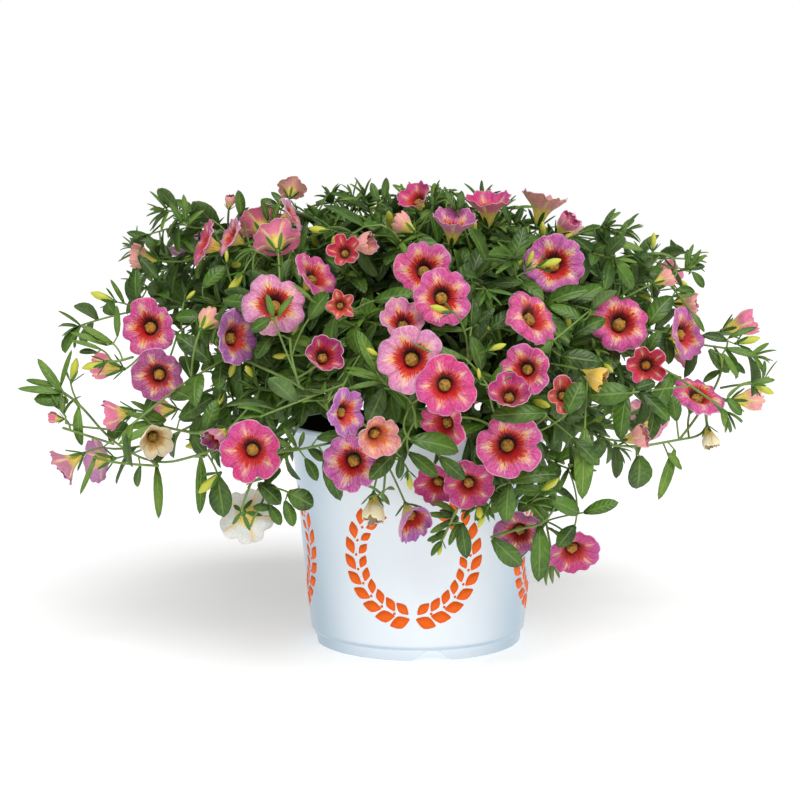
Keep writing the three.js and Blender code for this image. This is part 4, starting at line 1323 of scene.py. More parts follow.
# %% Lists of leaves, buds and stems
FRONT_LEAVES = [
    (-130, 229, -5, 17, 9, 8), (-144, 238, 45, 20, 9, 4), (-73, 217, 45, 20, 12, 4),
    (-28, 181, 117, 27, 8, 4), (-23, 170, -112, 25, 11, 8), (-29, 229, 5, 24, 11, -4),
    (-97, 217, 105, 15, 4, 14), (-94, 218, 60, 16, 4, 14), (-99, 217, -148, 14, 8, 12),
    (-98, 205, -120, 17, 9, 2), (-26, 177, 157, 22, 3, 4), (-26, 176, 170, 20, 3, 4),
    (-24, 174, -165, 21, 3, 6), (36, 211, 86, 18, 9, 8), (31, 209, 85, 15, 4, 8),
    (40, 213, 43, 14, 5, 6), (35, 205, -69, 22, 10, 8), (32, 190, 163, 32, 5, 12),
    (32, 209, 177, 20, 4, 4), (47, 209, 36, 20, 9, 2), (70, 241, -174, 18, 8, 2),
    (111, 216, 155, 22, 8, 2), (104, 205, 32, 24, 11, 10), (96, 192, -9, 24, 11, 6),
    (91, 202, -143, 13, 8, 4), (101, 153, 66, 21, 12, 10), (86, 153, -172, 32, 12, 12),
    (145, 167, -177, 27, 14, 8), (146, 170, 15, 15, 7, 12), (150, 168, -50, 25, 9, 4),
    (141, 166, -96, 28, 11, 2), (154, 212, 55, 27, 13, 6), (170, 244, 167, 18, 12, 4),
    (132, 256, -57, 22, 9, 2), (155, 194, 62, 16, 8, 2), (49, 171, 60, 14, 4, 8),
    (50, 173, 23, 15, 5, 8), (46, 170, -24, 12, 7, 12), (-63, 124, -69, 28, 10, -22),
    (-76, 122, -63, 15, 7, 2), (-88, 99, -29, 18, 13, 6), (-15, 126, -132, 22, 10, 8),
    (-11, 123, -97, 13, 5, 4), (-5, 135, -6, 31, 13, 28), (-6, 126, -40, 22, 9, 12),
    (15, 123, -40, 20, 9, 4), (63, 106, 17, 31, 12, 10), (62, 105, -93, 23, 11, 4),
    (93, 99, 176, 25, 7, 2), (88, 95, -22, 25, 10, 4), (113, 85, 12, 22, 9, 4),
    (30, 78, -82, 22, 9, 10), (51, 67, -45, 27, 12, 12), (83, 76, -93, 34, 13, 14),
    (107, 76, -128, 17, 10, 8), (105, 136, -45, 24, 9, 4), (113, 142, -92, 42, 12, 0),
    (28, 81, 158, 13, 4, 5), (28, 80, -163, 13, 4, 6), (28, 78, -112, 15, 4, 5),
    (-240, 167, 125, 27, 6, 0), (-242, 171, 168, 24, 4, 0), (-240, 167, 178, 28, 5, 0),
    (-236, 161, 177, 22, 11, 0), (-229, 157, -95, 28, 7, 0), (-241, 171, 72, 25, 3, 0),
    (-205, 200, 150, 24, 4, 0), (-206, 200, 163, 23, 4, 2), (-209, 199, 167, 24, 4, 0),
    (-213, 196, 168, 20, 3, 2), (-216, 194, 171, 13, 4, 0), (-197, 227, 124, 18, 3, 0),
    (-202, 205, 90, 20, 4, 0), (-188, 227, 93, 24, 10, 0), (-187, 259, -52, 20, 8, 4),
    (-174, 266, 156, 22, 7, 0), (-145, 217, 180, 17, 10, 2), (-185, 151, 59, 20, 8, 10),
    (-161, 149, 36, 26, 12, 4), (-144, 141, 69, 21, 9, 2), (-170, 148, 156, 26, 4, 2),
    (-171, 148, 169, 26, 4, 2), (-171, 147, -173, 27, 5, 2), (-174, 146, -150, 30, 5, 2),
    (-218, 124, -113, 27, 3, 0), (-188, 117, -106, 16, 5, 0), (-177, 117, -89, 34, 6, 0),
    (-147, 123, -93, 35, 7, 0), (-153, 139, -60, 18, 8, 0), (-135, 109, -80, 24, 15, 4),
    (128, 268, -15, 22, 5, 0), (173, 236, 5, 14, 6, 0), (171, 232, 0, 14, 4, 0),
    (184, 248, -50, 13, 6, 0), (179, 250, 75, 18, 3, 0), (180, 250, 55, 16, 3, 0),
    (180, 250, 32, 16, 4, 0), (180, 250, 12, 13, 5, 0), (184, 221, -64, 15, 4, 2),
    (208, 202, 166, 16, 7, 0), (209, 204, 21, 20, 4, 0), (207, 197, -18, 22, 5, 0),
    (206, 193, -58, 18, 4, 0), (224, 173, 10, 17, 4, 0), (209, 163, -54, 14, 7, 0),
    (175, 148, 101, 16, 9, 0), (150, 124, -87, 23, 17, 0), (174, 128, -109, 33, 7, 0),
    (169, 126, -51, 14, 4, 0), (169, 126, -30, 12, 3, 0), (-157, 281, 126, 15, 4, 0),
    (-155, 281, 94, 18, 4, 0), (-154, 279, 52, 15, 4, 0), (-100, 282, 110, 15, 4, 0),
    (-97, 281, 68, 15, 4, 0), (-26, 294, 112, 14, 5, 0), (-23, 296, 85, 14, 5, 0),
    (26, 289, 117, 14, 5, 0), (27, 289, 80, 13, 5, 0), (62, 279, 112, 14, 5, 0),
    (65, 279, 66, 13, 5, 0), (123, 263, 103, 16, 6, 0), (126, 265, 90, 16, 5, 0),
    (128, 263, 55, 20, 5, 0), (25, 86, 150, 15, 4, 8), (24, 82, 174, 16, 4, 8),
    (23, 79, -152, 15, 4, 8), (20, 73, -142, 13, 4, 8), (18, 69, -160, 11, 4, 8),
    (17, 66, -122, 12, 4, 8), (-108, 105, -42, 19, 11, 4), (-90, 93, -78, 16, 8, 6),
    (-101, 90, -60, 14, 7, 6), (-99, 88, 176, 12, 5, 6), (-118, 285, 98, 17, 7, 0),
    (-92, 290, 150, 14, 6, 0), (-90, 291, 122, 13, 5, 0), (196, 196, -48, 20, 9, 0),
    (204, 182, -140, 14, 5, 0), (206, 188, -25, 17, 6, 0), (-68, 136, 5, 17, 7, 3),
    (-82, 130, 122, 14, 3, 3), (-85, 129, 152, 13, 3, 3), (-80, 130, 78, 10, 3, 3),
    (-82, 129, -150, 12, 4, 3), (-74, 129, -35, 13, 6, 3),
]
FRONT_BUDS = [
    (-86, 204, 57, 8, 4), (-24, 190, 146, 10, 4), (45, 195, 18, 11, 8), (50, 207, 129, 8, 6),
    (79, 251, 18, 14, 22), (72, 250, 67, 10, 6), (103, 206, 103, 11, 8), (157, 261, 87, 11, 0),
    (42, 173, 97, 7, 8), (-7, 115, -81, 11, 10), (47, 87, -115, 10, 10), (-234, 173, 76, 15, 0),
    (-209, 188, -165, 15, 0), (-202, 228, 160, 16, 0), (-133, 113, -137, 17, 4),
    (213, 200, 13, 15, 0), (225, 173, -24, 14, 0), (-128, 252, 90, 8, 6), (-157, 228, 45, 8, 4),
    (24, 221, 165, 12, 20), (-122, 192, -108, 12, 4), (17, 66, -105, 8, 8),
]
FRONT_STEMS = [
    [(-239, 167), (-228, 159), (-207, 133), (-177, 117), (-146, 125), (-123, 134)],
    [(-240, 143), (-215, 135), (-206, 132)],
    [(-220, 123), (-205, 119), (-176, 117)],
    [(-181, 146), (-147, 138), (-135, 142)],
    [(-123, 192), (-105, 184), (-80, 172), (-68, 162), (-55, 150)],
    [(-86, 204), (-85, 189), (-80, 172)],
    [(-104, 125), (-80, 128), (-53, 134), (-38, 139)],
    [(131, 131), (150, 130), (177, 135), (190, 137), (196, 144)],
    [(177, 135), (187, 148), (202, 172), (206, 188), (200, 197)],
    [(204, 170), (214, 172), (225, 173)],
    [(171, 248), (173, 255), (167, 260), (157, 261)],
    [(171, 248), (180, 250), (185, 252)],
    [(16, 65), (21, 75), (27, 88)],
    [(-1, 143), (-3, 161), (-15, 169), (-26, 176)],
    [(-192, 191), (-202, 188), (-209, 188)],
]
CROSSING_STEM = [(50, 68), (69, 74), (86, 77), (94, 90)]
CROSSING_DEPTH = 11
FRONT_STEM_RADIUS = 0.9
FRONT_STEM_TIP_RADIUS = 0.8
print("set by hand:", len(FRONT_LEAVES), "leaves and", len(FRONT_BUDS), "buds")

# %% Depths around the blooms
DEPTH_BLUR = 8
DEPTH_STEP = 4
STEM_MARGIN = 2
LIMB_DEPTH = 8
LIMB_FRONT = 16
TUBE_DEPTH = 20
TUBE_RADIUS = 5


def front_depth(across, height):
    """How far in front of the middle plane the blooms around this line of sight are."""
    total = weights = 0
    for bloom_across, bloom_height, depth, *_ in LARGE_BLOOMS + SMALL_BLOOMS:
        weight = (math.hypot(bloom_across - across, bloom_height - height) + DEPTH_BLUR) ** -3
        total += weight * depth
        weights += weight
    return total / weights


def in_bloom(point, bloom, margin):
    """Whether a point is in a bloom's tube or limb, or just in front of the limb."""
    offset = point - bloom.centre
    if offset.length_squared > (bloom.radius + TUBE_DEPTH + 10) ** 2:
        return False
    along = offset.dot(bloom.facing)
    across = (offset - bloom.facing * along).length
    if -LIMB_DEPTH * bloom.scale - margin < along < LIMB_FRONT and across < bloom.radius + margin:
        return True
    return -TUBE_DEPTH * bloom.scale < along <= 0 and across < TUBE_RADIUS * bloom.scale + margin


def eased(points):
    """A stem through a row of points, with its corners cut twice."""
    for _ in range(2):
        pairs = zip(points, points[1:])
        cuts = [first.lerp(second, share) for first, second in pairs for share in (0.25, 0.75)]
        points = [points[0], *cuts, points[-1]]
    return points


def behind_blooms(across, height):
    """The place on a line of sight that is just clear of the blooms around it."""
    depth = front_depth(across, height)
    while True:
        depth -= DEPTH_STEP
        point = sight_point(across, height, depth)
        if not any(in_bloom(point, bloom, STEM_MARGIN) for bloom in all_blooms):
            return point


front_stems = []
for row in FRONT_STEMS:
    places = eased([Vector(place) for place in row])
    front_stems.append(eased([behind_blooms(*place) for place in places]))
crossing = eased(eased([Vector(place) for place in CROSSING_STEM]))
front_stems.append([sight_point(*place, front_depth(*place) + CROSSING_DEPTH) for place in crossing])
front_stems = [Path(points, FRONT_STEM_RADIUS, FRONT_STEM_TIP_RADIUS) for points in front_stems]
anchors = [point for path in front_stems for point in path.points]
print("points on the stems in front:", len(anchors))

# %% Roots of the leaves and buds in front
SNAP = 7


def front_place(across, height, lean, length, forward):
    """Root, heading and the stem or root near by that a leaf or bud in front grows from."""
    turn = math.radians(lean)
    heading = Vector((math.cos(turn), 0, math.sin(turn)))
    middle = (across + heading.x * length / 2, height + heading.z * length / 2)
    root = sight_point(across, height, front_depth(*middle) + forward)
    for anchor in anchors:
        on_sight = sight_point(across, height, -anchor.y)
        if (on_sight - anchor).length < SNAP:
            return on_sight, heading, anchor
    anchors.append(root)
    return root, heading, None


front_leaves = [
    (*front_place(across, height, lean, length, forward), length, width)
    for across, height, lean, length, width, forward in FRONT_LEAVES
]
front_buds = [
    (*front_place(across, height, lean, length, forward), length)
    for across, height, lean, length, forward in FRONT_BUDS
]
print("roots without a stem near by:", len(anchors) - sum(len(path.points) for path in front_stems))

# %% [markdown]
# ## Keeping the blooms in sight
#
# Leaves fill every gap of a real plant, but they seldom lie on an open bloom, because the bloom
# grew towards the light past them. So before anything grows, its points are tested: not in the
# petals or the tube of a bloom, not just in front of them, and not between the viewer and a bloom,
# a leaf or a bud that was listed. A stretch of the pot's rim stays bare in the same way.

# %% Room to grow
SEEN_SHARE = 0.72
SEEN_LEAF_SHARE = 0.6
SEEN_BUD_RADIUS = 4
BARE_RIM = (-68, 137, 80)
BARE_RIM_RADIUS = 17
IN_FRONT = 0.995

seen = [(bloom.centre, SEEN_SHARE * bloom.radius) for bloom in all_blooms if bloom.front]
for root, heading, _, length, width in front_leaves:
    seen.append((root + heading * length / 2, width * SEEN_LEAF_SHARE))
for root, heading, _, length in front_buds:
    seen.append((root + heading * length / 2, SEEN_BUD_RADIUS))
seen.append((sight_point(*BARE_RIM), BARE_RIM_RADIUS))
sights = [(place - CAMERA_PLACE, radius) for place, radius in seen]
sights = [(ray, ray.length_squared, radius) for ray, radius in sights]


def hides_something(point):
    """Whether a point lies between the viewer and one of the places that stay in sight."""
    offset = point - CAMERA_PLACE
    for ray, length_squared, radius in sights:
        share = offset.dot(ray) / length_squared
        if share < IN_FRONT and (offset - ray * share).length_squared < radius * radius:
            return True
    return False


def has_room(points, margin, outside=False):
    """Whether points keep clear of the box, the blooms and, unless outside, the outline."""
    for point in points:
        if not all(low < place < high for low, place, high in zip(cad_low, point * MM, cad_high)):
            return False
        if not outside and not in_outline(point):
            return False
        if hides_something(point):
            return False
        if any(in_bloom(point, bloom, margin) for bloom in all_blooms):
            return False
    return True


print("places that stay in sight:", len(sights))

# %% Side twigs
TWIG_START = 0.3
TWIG_STEP = 14
TWIG_LENGTHS = (30, 62)
TWIG_RISE = (-0.25, 0.6)
TWIG_RADIUS = 0.9
TWIG_TIP_RADIUS = 0.55
TWIG_STEPS = 8
TWIG_BEND = 0.4
TWIG_MARGIN = 2
STEP_SPREAD = (0.8, 1.2)
OUTWARD_PULL = 0.35


def sideways(direction, turn):
    """A direction across a stem, turned about it."""
    return Matrix.Rotation(turn, 3, direction) @ direction.orthogonal().normalized()


def grow_twig(path, distance, seed):
    """A short side stem, which leaves at an angle and turns up and outwards."""
    start, direction = path.at(distance), path.direction(distance)
    outward = sideways(direction, seed * GOLDEN * math.tau)
    outward = (outward + Vector((start.x, start.y, 0)).normalized() * OUTWARD_PULL).normalized()
    length = draw(seed, *TWIG_LENGTHS)
    rise = UP * draw(seed + 1, *TWIG_RISE)
    first = start + (direction * 0.7 + outward * 0.8) * (length * TWIG_BEND)
    end = first + (direction * 0.6 + outward * 0.6 + rise) * (length * (1 - TWIG_BEND))
    return Path(bezier([start, first, end], TWIG_STEPS), TWIG_RADIUS, TWIG_TIP_RADIUS)


twigs = []
seed = 0
for sector, path in shoots:
    distance = path.length * TWIG_START
    while distance < path.length - TWIG_STEP:
        seed += 1
        twig = grow_twig(path, distance, seed)
        if has_room([twig.at(twig.length * share) for share in (0.4, 0.7, 1)], TWIG_MARGIN):
            twigs.append((sector, twig))
        distance += TWIG_STEP * draw(seed, *STEP_SPREAD)
print("twigs:", len(twigs))

# %% [markdown]
# ## Leaves
#
# A leaf is a spoon-shaped blade, folded a little along its midrib and bent down at its tip. One
# leaf is a small grid whose width follows a formula, with its rows closer together at the blunt
# tip. A few leaves with more or less fold and bend are made once, and thousands of copies are
# turned into place.

# %% Leaf templates
LEAF_ROWS = 6
# Each kind of leaf: its width as a share of its length, how many degrees it bends, how far it folds.
BROAD_LEAVES = [(0.44, 20, 0.16), (0.4, 45, 0.2), (0.47, 12, 0.1), (0.42, 70, 0.12), (0.37, 30, 0.28)]
NARROW_LEAVES = [(0.2, 15, 0.3), (0.24, 40, 0.2), (0.17, 5, 0.3)]
# Above 1, a blade is widest beyond its middle.
BROAD_TIP = 1.1
NARROW_TIP = 0.95


def leaf_template(name, width, bend, fold, material, tip_share):
    """A blade one unit long from its root, with its upper side up."""
    bm = bmesh.new()
    bm.loops.layers.uv.new("blade")
    bmesh.ops.create_grid(bm, x_segments=2, y_segments=LEAF_ROWS, size=0.5, calc_uvs=True)
    bend = math.radians(bend)
    for vert in bm.verts:
        share = 1 - (0.5 - vert.co.y) ** 1.35
        side = vert.co.x * 2
        spread = max(0.09 * (1 - share), math.sin(math.pi * share**tip_share)) ** 0.6
        turn = bend * share
        lift = abs(side) * spread * width * fold
        drop = (1 - math.cos(turn)) / bend
        vert.co = Vector((side * spread * width / 2, math.sin(turn) / bend, lift - drop))
    for face in bm.faces:
        face.material_index = material
    bmesh.ops.remove_doubles(bm, verts=bm.verts[:], dist=0.004)
    blade = template(name, bm)
    blade["width"] = width
    return blade


broad_leaves = [leaf_template("broad_leaf", *row, 0, BROAD_TIP) for row in BROAD_LEAVES]
narrow_leaves = [leaf_template("narrow_leaf", *row, 2, NARROW_TIP) for row in NARROW_LEAVES]
print("leaf templates:", len(broad_leaves) + len(narrow_leaves))

# %% [markdown]
# Green is never one green. The blade's colour drifts from leaf to leaf with a soft noise, the
# midrib is a lighter line, and faint side veins run from it to the edge. The underside is paler
# and duller, and the leaves at the tips are younger and lighter.

# %% Leaf finishes
SIDE_VEINS = 7
LEAF_TONES = {
    "leaf": ("274710", "527a23", "83a04a", 0.36),
    "leaf_underside": ("4a6a30", "648243", "87a05e", 0.6),
    "young_leaf": ("426d1b", "6c922e", "9eb458", 0.4),
    "young_leaf_underside": ("5a7c39", "7a974d", "9fb46e", 0.6),
}


def leaf_paint(name, dark, light, rib, roughness):
    paint = Paint(name)
    uv = paint.node("UVMap", {"uv_map": "blade"})
    x, y = (paint.axis(uv, name) for name in "XY")
    off_rib = (x - 0.5).math("ABSOLUTE") * 2
    midrib = off_rib.below(0.03, 0.14) * y.below(0.75, 1.0)
    veins = ((y * SIDE_VEINS - off_rib * 1.4) * math.tau).math("SINE") * off_rib.above(0.0, 0.3)
    drift = paint.noise(42.0, 2.0)
    mottle = paint.noise(320.0, 3.0)
    face = paint.mix(drift.above(0.32, 0.68), dark, light)
    face = paint.mix(mottle.above(0.45, 0.8) * 0.35, face, rib)
    face = paint.mix(midrib * 0.6 + veins.above(0.6, 1.0) * 0.12, face, rib)
    paint.finish(Base_Color=face, Roughness=roughness + 0.15 * mottle)
    paint.bump(veins * 0.35 - midrib * 1.2 + mottle * 0.5, 0.0005, 0.5)
    return paint.material


leaf_paints = [leaf_paint(name, *tones) for name, tones in LEAF_TONES.items()]
print("leaf finishes:", ", ".join(LEAF_TONES))

# %% Growing leaves
BARE_SHARE = 0.22
BARE_TWIG = 6
BARE_TIP = 3
LEAF_STEP = 5.5
LEAF_LENGTH = 28
LEAF_ANGLES = (45, 75)
LEAF_SIZES = (0.75, 1.15)
LEAF_ROLL = 28
TWIG_LEAF_STEP = 5
TWIG_LEAF_LENGTH = LEAF_LENGTH * 0.92
OUTSIDE_SHARE = 0.35
SHOOT_SEED = 5000
TWIG_SEED = 20000


def leaf_matrix(origin, heading, over, length, width):
    """Puts a leaf at its root, by the way it points and the way its upper side looks."""
    over = (over - heading * over.dot(heading)).normalized()
    side = heading.cross(over)
    return framed(origin, side * width, heading * length, over * length)


def grow_leaf(bed, stem, origin, outward, angle, length, forms, seed, margin, outside):
    """Adds a leaf if it has room, with its upper side towards the light and the shoot's tip."""
    heading = (stem * math.cos(angle) + outward * math.sin(angle)).normalized()
    reach = [origin + heading * length * share for share in (0.5, 1)]
    if not has_room(reach, margin, outside):
        return 0
    over = stem * 0.55 + UP * 0.75 + outward * 0.1
    roll = Matrix.Rotation(math.radians(draw(seed + 4, -LEAF_ROLL, LEAF_ROLL)), 3, heading)
    form = forms[int(draw(seed + 5, 0, len(forms)))]
    add_copy(bed, form, leaf_matrix(origin, heading, roll @ over, length, length))
    return 1


def leaves_along(bed, path, start, step, length, seed, main=False):
    """Leaves that follow one another up a stem, each turned on by the golden angle."""
    grown = 0
    distance, turn = start, draw(seed, 0, math.tau)
    while distance < path.length - BARE_TIP:
        seed += 1
        turn += GOLDEN_TURN
        stem = path.direction(distance)
        outward = sideways(stem, turn)
        origin = path.at(distance) + outward * path.radius(distance) * 0.7
        angle = math.radians(draw(seed, *LEAF_ANGLES))
        size = length * draw(seed + 9, *LEAF_SIZES)
        far = main and draw(seed + 6, 0, 1) < OUTSIDE_SHARE
        grown += grow_leaf(bed, stem, origin, outward, angle, size, broad_leaves, seed * 3, 1, far)
        distance += step * draw(seed + 2, *STEP_SPREAD)
    return grown


# %% Rosettes
ROSETTE_LEAVES = 9
TWIG_ROSETTE_LEAVES = 7
ROSETTE_LENGTH = 16
ROSETTE_DEPTH = 5
ROSETTE_ANGLES = (62, 14)
ROSETTE_ANGLE_SPREAD = (-6, 6)
ROSETTE_SIZES = (1.15, 0.6)


def rosette(bed, path, leaves, seed, main=False):
    """Narrow young leaves round a tip, which stand the steeper and the shorter the later they come."""
    grown = 0
    stem = path.direction(path.length)
    for number in range(leaves):
        share = number / leaves
        outward = sideways(stem, number * GOLDEN_TURN)
        origin = path.at(path.length - ROSETTE_DEPTH * (1 - share))
        uneven = draw(seed + number, *ROSETTE_ANGLE_SPREAD)
        angle = math.radians(mix(*ROSETTE_ANGLES, share) + uneven)
        size = ROSETTE_LENGTH * mix(*ROSETTE_SIZES, share)
        leaf_seed = seed + number
        grown += grow_leaf(bed, stem, origin, outward, angle, size, narrow_leaves, leaf_seed, 0, main)
    return grown


leaf_beds = {name: bmesh.new() for name in SECTORS}
leaf_count = 0
for number, (sector, path) in enumerate(shoots):
    bed = leaf_beds[SECTORS[sector]]
    seed = SHOOT_SEED + number * 97
    leaf_count += leaves_along(bed, path, path.length * BARE_SHARE, LEAF_STEP, LEAF_LENGTH, seed, True)
    leaf_count += rosette(bed, path, ROSETTE_LEAVES, seed + 50, True)
for number, (sector, twig) in enumerate(twigs):
    bed = leaf_beds[SECTORS[sector]]
    seed = TWIG_SEED + number * 61
    leaf_count += leaves_along(bed, twig, BARE_TWIG, TWIG_LEAF_STEP, TWIG_LEAF_LENGTH, seed)
    leaf_count += rosette(bed, twig, TWIG_ROSETTE_LEAVES, seed + 40)
print("leaves grown:", leaf_count)

# %% The leaves in front
BROAD_FROM = 0.3
BLADE_THICKNESS = 0.35
# The upper side looks at the viewer, but also this much sideways and upwards.
SIDEWAYS_LOOK = (-0.5, 0.5)
UPWARDS_LOOK = (0.1, 0.8)
TOWARDS_VIEWER = (0, 0.35)

for number, (root, heading, _, length, width) in enumerate(front_leaves):
    forms = broad_leaves if width > BROAD_FROM * length else narrow_leaves
    form = forms[number % 3]
    over = Vector((draw(number, *SIDEWAYS_LOOK), -1, draw(number + 7, *UPWARDS_LOOK)))
    turned = (heading + over * draw(number + 3, *TOWARDS_VIEWER)).normalized()
    matrix = leaf_matrix(root, turned, over, length, width / form["width"])
    add_copy(leaf_beds[SECTORS[sector_of(root)]], form, matrix)
for name, bed in leaf_beds.items():
    plain = [f"leafy_branch_{name}"]
    piece(f"leaves_{name}", bed, leaf_paints, plain, sheet=BLADE_THICKNESS)
print("leaves in front:", len(front_leaves))

# %% [markdown]
# ## Stalks, calyces and buds
#
# Each bloom hangs on a thin stalk and sits in a calyx of five narrow sepals. A bud is the same
# calyx round a furled, yellow-green corolla. Stems are curves with a round bevel, turned into a
# mesh at the end, because a curve follows a path more simply than any extrusion.

# %% Calyx and bud templates
CALYX_BASE = -19
CUP_HEIGHT = 3.6
CUP_BASE_RADIUS = 1
CUP_RADIUS = 2.3
SEPAL_LENGTH = 13
SEPAL_RING = 1.9
SEPAL_RISE = 2.6
SEPAL_SHAPE = (0.2, -18, 0.3)
SEPAL_TIP = 0.9
SEPAL_SPREAD = 0.62
SEPAL_THICKNESS = 0.3
BUD_WIDTH = 0.13
BUD_SHOULDER = 0.72
BUD_TWIST = 2.2
BUD_FURL = 0.14


def calyx_mesh():
    """Five sepals round a small cup, in the bloom's own frame."""
    bm = bmesh.new()
    cup = {"radius1": CUP_BASE_RADIUS, "radius2": CUP_RADIUS, "depth": CUP_HEIGHT}
    middle = Matrix.Translation((0, 0, CALYX_BASE + CUP_HEIGHT / 2))
    bmesh.ops.create_cone(bm, cap_ends=True, segments=2 * LOBES, matrix=middle, **cup)
    sepal = leaf_template("sepal", *SEPAL_SHAPE, 0, SEPAL_TIP)
    for number in range(LOBES):
        outward = polar(1, math.tau * (number + 0.5) / LOBES, 0)
        heading = (outward * SEPAL_SPREAD + UP).normalized()
        side = heading.cross(outward).normalized()
        axes = (side, heading, side.cross(heading))
        origin = outward * SEPAL_RING + UP * (CALYX_BASE + SEPAL_RISE)
        add_copy(bm, sepal, framed(origin, *(axis * SEPAL_LENGTH for axis in axes)))
    sides = [face for face in bm.faces if len(face.verts) == 4]
    bmesh.ops.solidify(bm, geom=sides, thickness=SEPAL_THICKNESS)
    return template("calyx", bm)


def bud_mesh():
    """A furled spindle with its tip forward, one unit long."""
    bm = bmesh.new()
    bmesh.ops.create_uvsphere(bm, u_segments=2 * LOBES, v_segments=8, radius=1)
    for vert in bm.verts:
        share = (vert.co.z + 1) / 2
        width = BUD_WIDTH * (1 + 0.5 * share) * (1 - 1.6 * max(0, share - BUD_SHOULDER))
        furl = 1 + BUD_FURL * math.cos(LOBES * math.atan2(vert.co.y, vert.co.x))
        ring = Vector((vert.co.x, vert.co.y, 0)) * width * furl
        vert.co = Matrix.Rotation(share * BUD_TWIST, 3, "Z") @ ring + UP * share
    return template("bud", bm)


calyx = calyx_mesh()
bud = bud_mesh()
print("faces of a calyx:", len(calyx.polygons), "and of a bud:", len(bud.polygons))

# %% Stem finishes
def two_toned(name, scale, dark, light, stretch=(1, 1, 1), relief=0):
    """A soft finish that drifts between two tones."""
    paint = Paint(name)
    drift = paint.noise(scale, vector=paint.place(stretch))
    paint.finish(Base_Color=paint.mix(drift, dark, light), Roughness=0.5)
    if relief:
        paint.bump(drift, relief)
    return paint.material


stem_paints = [
    two_toned("stem", 240.0, "5d7f35", "8aa552", stretch=(1, 1, 0.4), relief=0.0004),
    two_toned("sepal", 200.0, "3c6c24", "5f8f38"),
    two_toned("bud", 130.0, "b4c43a", "e2dc52"),
]
print("stem finishes:", len(stem_paints))

# %% Round stems as one mesh
def stem_mesh(paths):
    curve = bpy.data.curves.new("stems", "CURVE")
    curve.dimensions = "3D"
    curve.bevel_depth = 1
    curve.bevel_resolution = 1
    curve.use_fill_caps = True
    for path in paths:
        spline = curve.splines.new("POLY")
        spline.points.add(len(path.points) - 1)
        for point, place, distance in zip(spline.points, path.points, path.distances):
            point.co = (*place, 1)
            point.radius = path.radius(distance)
    holder = bpy.data.objects.new("stems", curve)
    mesh = bpy.data.meshes.new_from_object(holder)
    bpy.data.objects.remove(holder)
    return mesh


all_stems = shoots + twigs
print("stems that carry something:", len(all_stems) + len(front_stems))

# %% Stalks
STALK_RADIUS = 0.7
LONGEST_STALK = 90
STALK_STEPS = 8
LONGEST_BEND = 22
BEND_SHARE = 0.6
# A stalk's cost is its length, more so where it starts ahead of its end, and these for each point.
TURN_COST = 1.8
BLOOM_COST = 25
HIDING_COST = 15
PLACES_ON_STEM = 8

stem_places = [
    path.at(path.length * place / PLACES_ON_STEM)
    for path in [path for _, path in all_stems] + front_stems
    for place in range(1, PLACES_ON_STEM)
]


def stalk_to(end, backwards, radius):
    """A stalk from the best stem nearby, which arrives from behind and keeps clear of blooms."""
    lowest, best = math.inf, None
    for start in stem_places:
        gap = (end - start).length
        if gap > LONGEST_STALK:
            continue
        cost = gap * (TURN_COST + (start - end).normalized().dot(-backwards))
        if cost < lowest:
            bend = end + backwards * min(LONGEST_BEND, gap * BEND_SHARE)
            points = bezier([start, start.lerp(end, 0.5).lerp(bend, 0.5), end], STALK_STEPS)
            for point in points[:-2]:
                cost += BLOOM_COST * sum(in_bloom(point, bloom, 0) for bloom in all_blooms)
                cost += HIDING_COST * hides_something(point)
            if cost < lowest:
                lowest, best = cost, points
    return Path(best, radius, radius)


print("places where a stalk can start:", len(stem_places))

# %% Buds on stalks
BUD_LENGTH = 15
BUD_SIZES = (0.6, 1.1)
BUD_LEANS = (0.5, 1.1)
BUD_STALKS = (10, 18)
BUD_STALK_START = 6
BUD_STALK_RADIUS = 0.5
LEAF_STALK_RADIUS = 0.6
CALYX_SHARE = 0.7
BUD_ABOVE_ROOT = 2


def set_bud(bm, root, heading, length):
    """A calyx and a furled corolla at the end of a stalk."""
    side = heading.orthogonal().normalized()
    axes = (side, heading.cross(side), heading)
    place = framed(root, *axes) @ Matrix.Scale(length / BUD_LENGTH * CALYX_SHARE, 4)
    add_copy(bm, calyx, place @ Matrix.Translation((0, 0, -CALYX_BASE)))
    place = framed(root + heading * BUD_ABOVE_ROOT, *(axis * length for axis in axes))
    for face in add_copy(bm, bud, place):
        face.material_index = 2


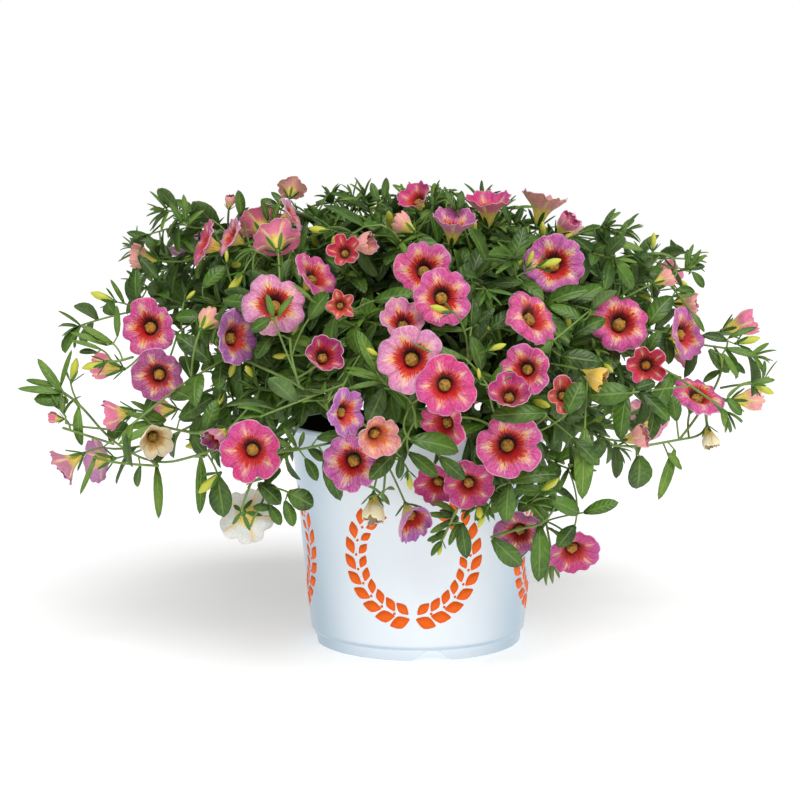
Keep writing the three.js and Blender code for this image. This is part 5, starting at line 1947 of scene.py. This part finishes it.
def bud_on(bm, path, seed, stalks):
    """A bud on a short stalk beside a tip."""
    stem = path.direction(path.length)
    outward = sideways(stem, draw(seed, 0, math.tau))
    start = path.at(path.length - BUD_STALK_START)
    heading = (stem + outward * draw(seed + 1, *BUD_LEANS) + UP * 0.2).normalized()
    end = start + heading * draw(seed + 2, *BUD_STALKS)
    length = BUD_LENGTH * draw(seed + 3, *BUD_SIZES)
    if not has_room([end, end + heading * length], 0):
        return 0
    set_bud(bm, end, heading, length)
    middle = start.lerp(end, 0.5) + stem * 1.5
    stalks.append(Path([start, middle, end], BUD_STALK_RADIUS, LEAF_STALK_RADIUS))
    return 1


print("a bud is about", BUD_LENGTH, "mm long")

# %% Stems, stalks and buds of each branch
BUD_SEED = 900
BUD_EVERY = 4
SHORTEST_STALK = 0.5
AWAY = Vector((0, 1, 0))


def stalks_in_front(sector):
    """The listed stems that are nearest to a branch, and the stalks of what they bear."""
    stalks = []
    for root, heading, anchor, *_ in front_leaves + front_buds:
        if sector_of(root) != sector:
            continue
        if anchor is None:
            backwards = (AWAY * 0.6 - heading).normalized()
            stalks.append(stalk_to(root, backwards, LEAF_STALK_RADIUS))
        elif (anchor - root).length > SHORTEST_STALK:
            middle = anchor.lerp(root, 0.5)
            stalks.append(Path([anchor, middle, root], LEAF_STALK_RADIUS, BUD_STALK_RADIUS))
    for path in front_stems:
        if sector_of(path.points[0]) == sector:
            stalks += [path, stalk_to(path.points[-1], AWAY, FRONT_STEM_RADIUS)]
    return stalks


bud_count = 0
for sector, name in enumerate(SECTORS):
    bm = bmesh.new()
    borne = [bloom for bloom in all_blooms if sector_of(bloom.behind(-CALYX_BASE)) == sector]
    for bloom in borne:
        add_copy(bm, calyx, bloom.matrix)
    for root, heading, _, length in front_buds:
        if sector_of(root) == sector:
            set_bud(bm, root, heading, length)
    stems = [path for own, path in all_stems if own == sector]
    stalks = [stalk_to(bloom.behind(-CALYX_BASE), -bloom.facing, STALK_RADIUS) for bloom in borne]
    stalks += stalks_in_front(sector)
    for number, path in enumerate(stems):
        if number % BUD_EVERY == 1:
            bud_count += bud_on(bm, path, BUD_SEED + 31 * sector + number, stalks)
    for face in bm.faces:
        face.material_index = max(1, face.material_index)
    bm.from_mesh(stem_mesh(stems + stalks))
    piece(f"stems_{name}", bm, stem_paints)
    fused = [bloom for bloom in borne if bloom in fused_blooms]
    if fused:
        bloom_piece(f"small_blooms_{name}", fused, SMALL_SIDES)
print("buds on the tips:", bud_count)
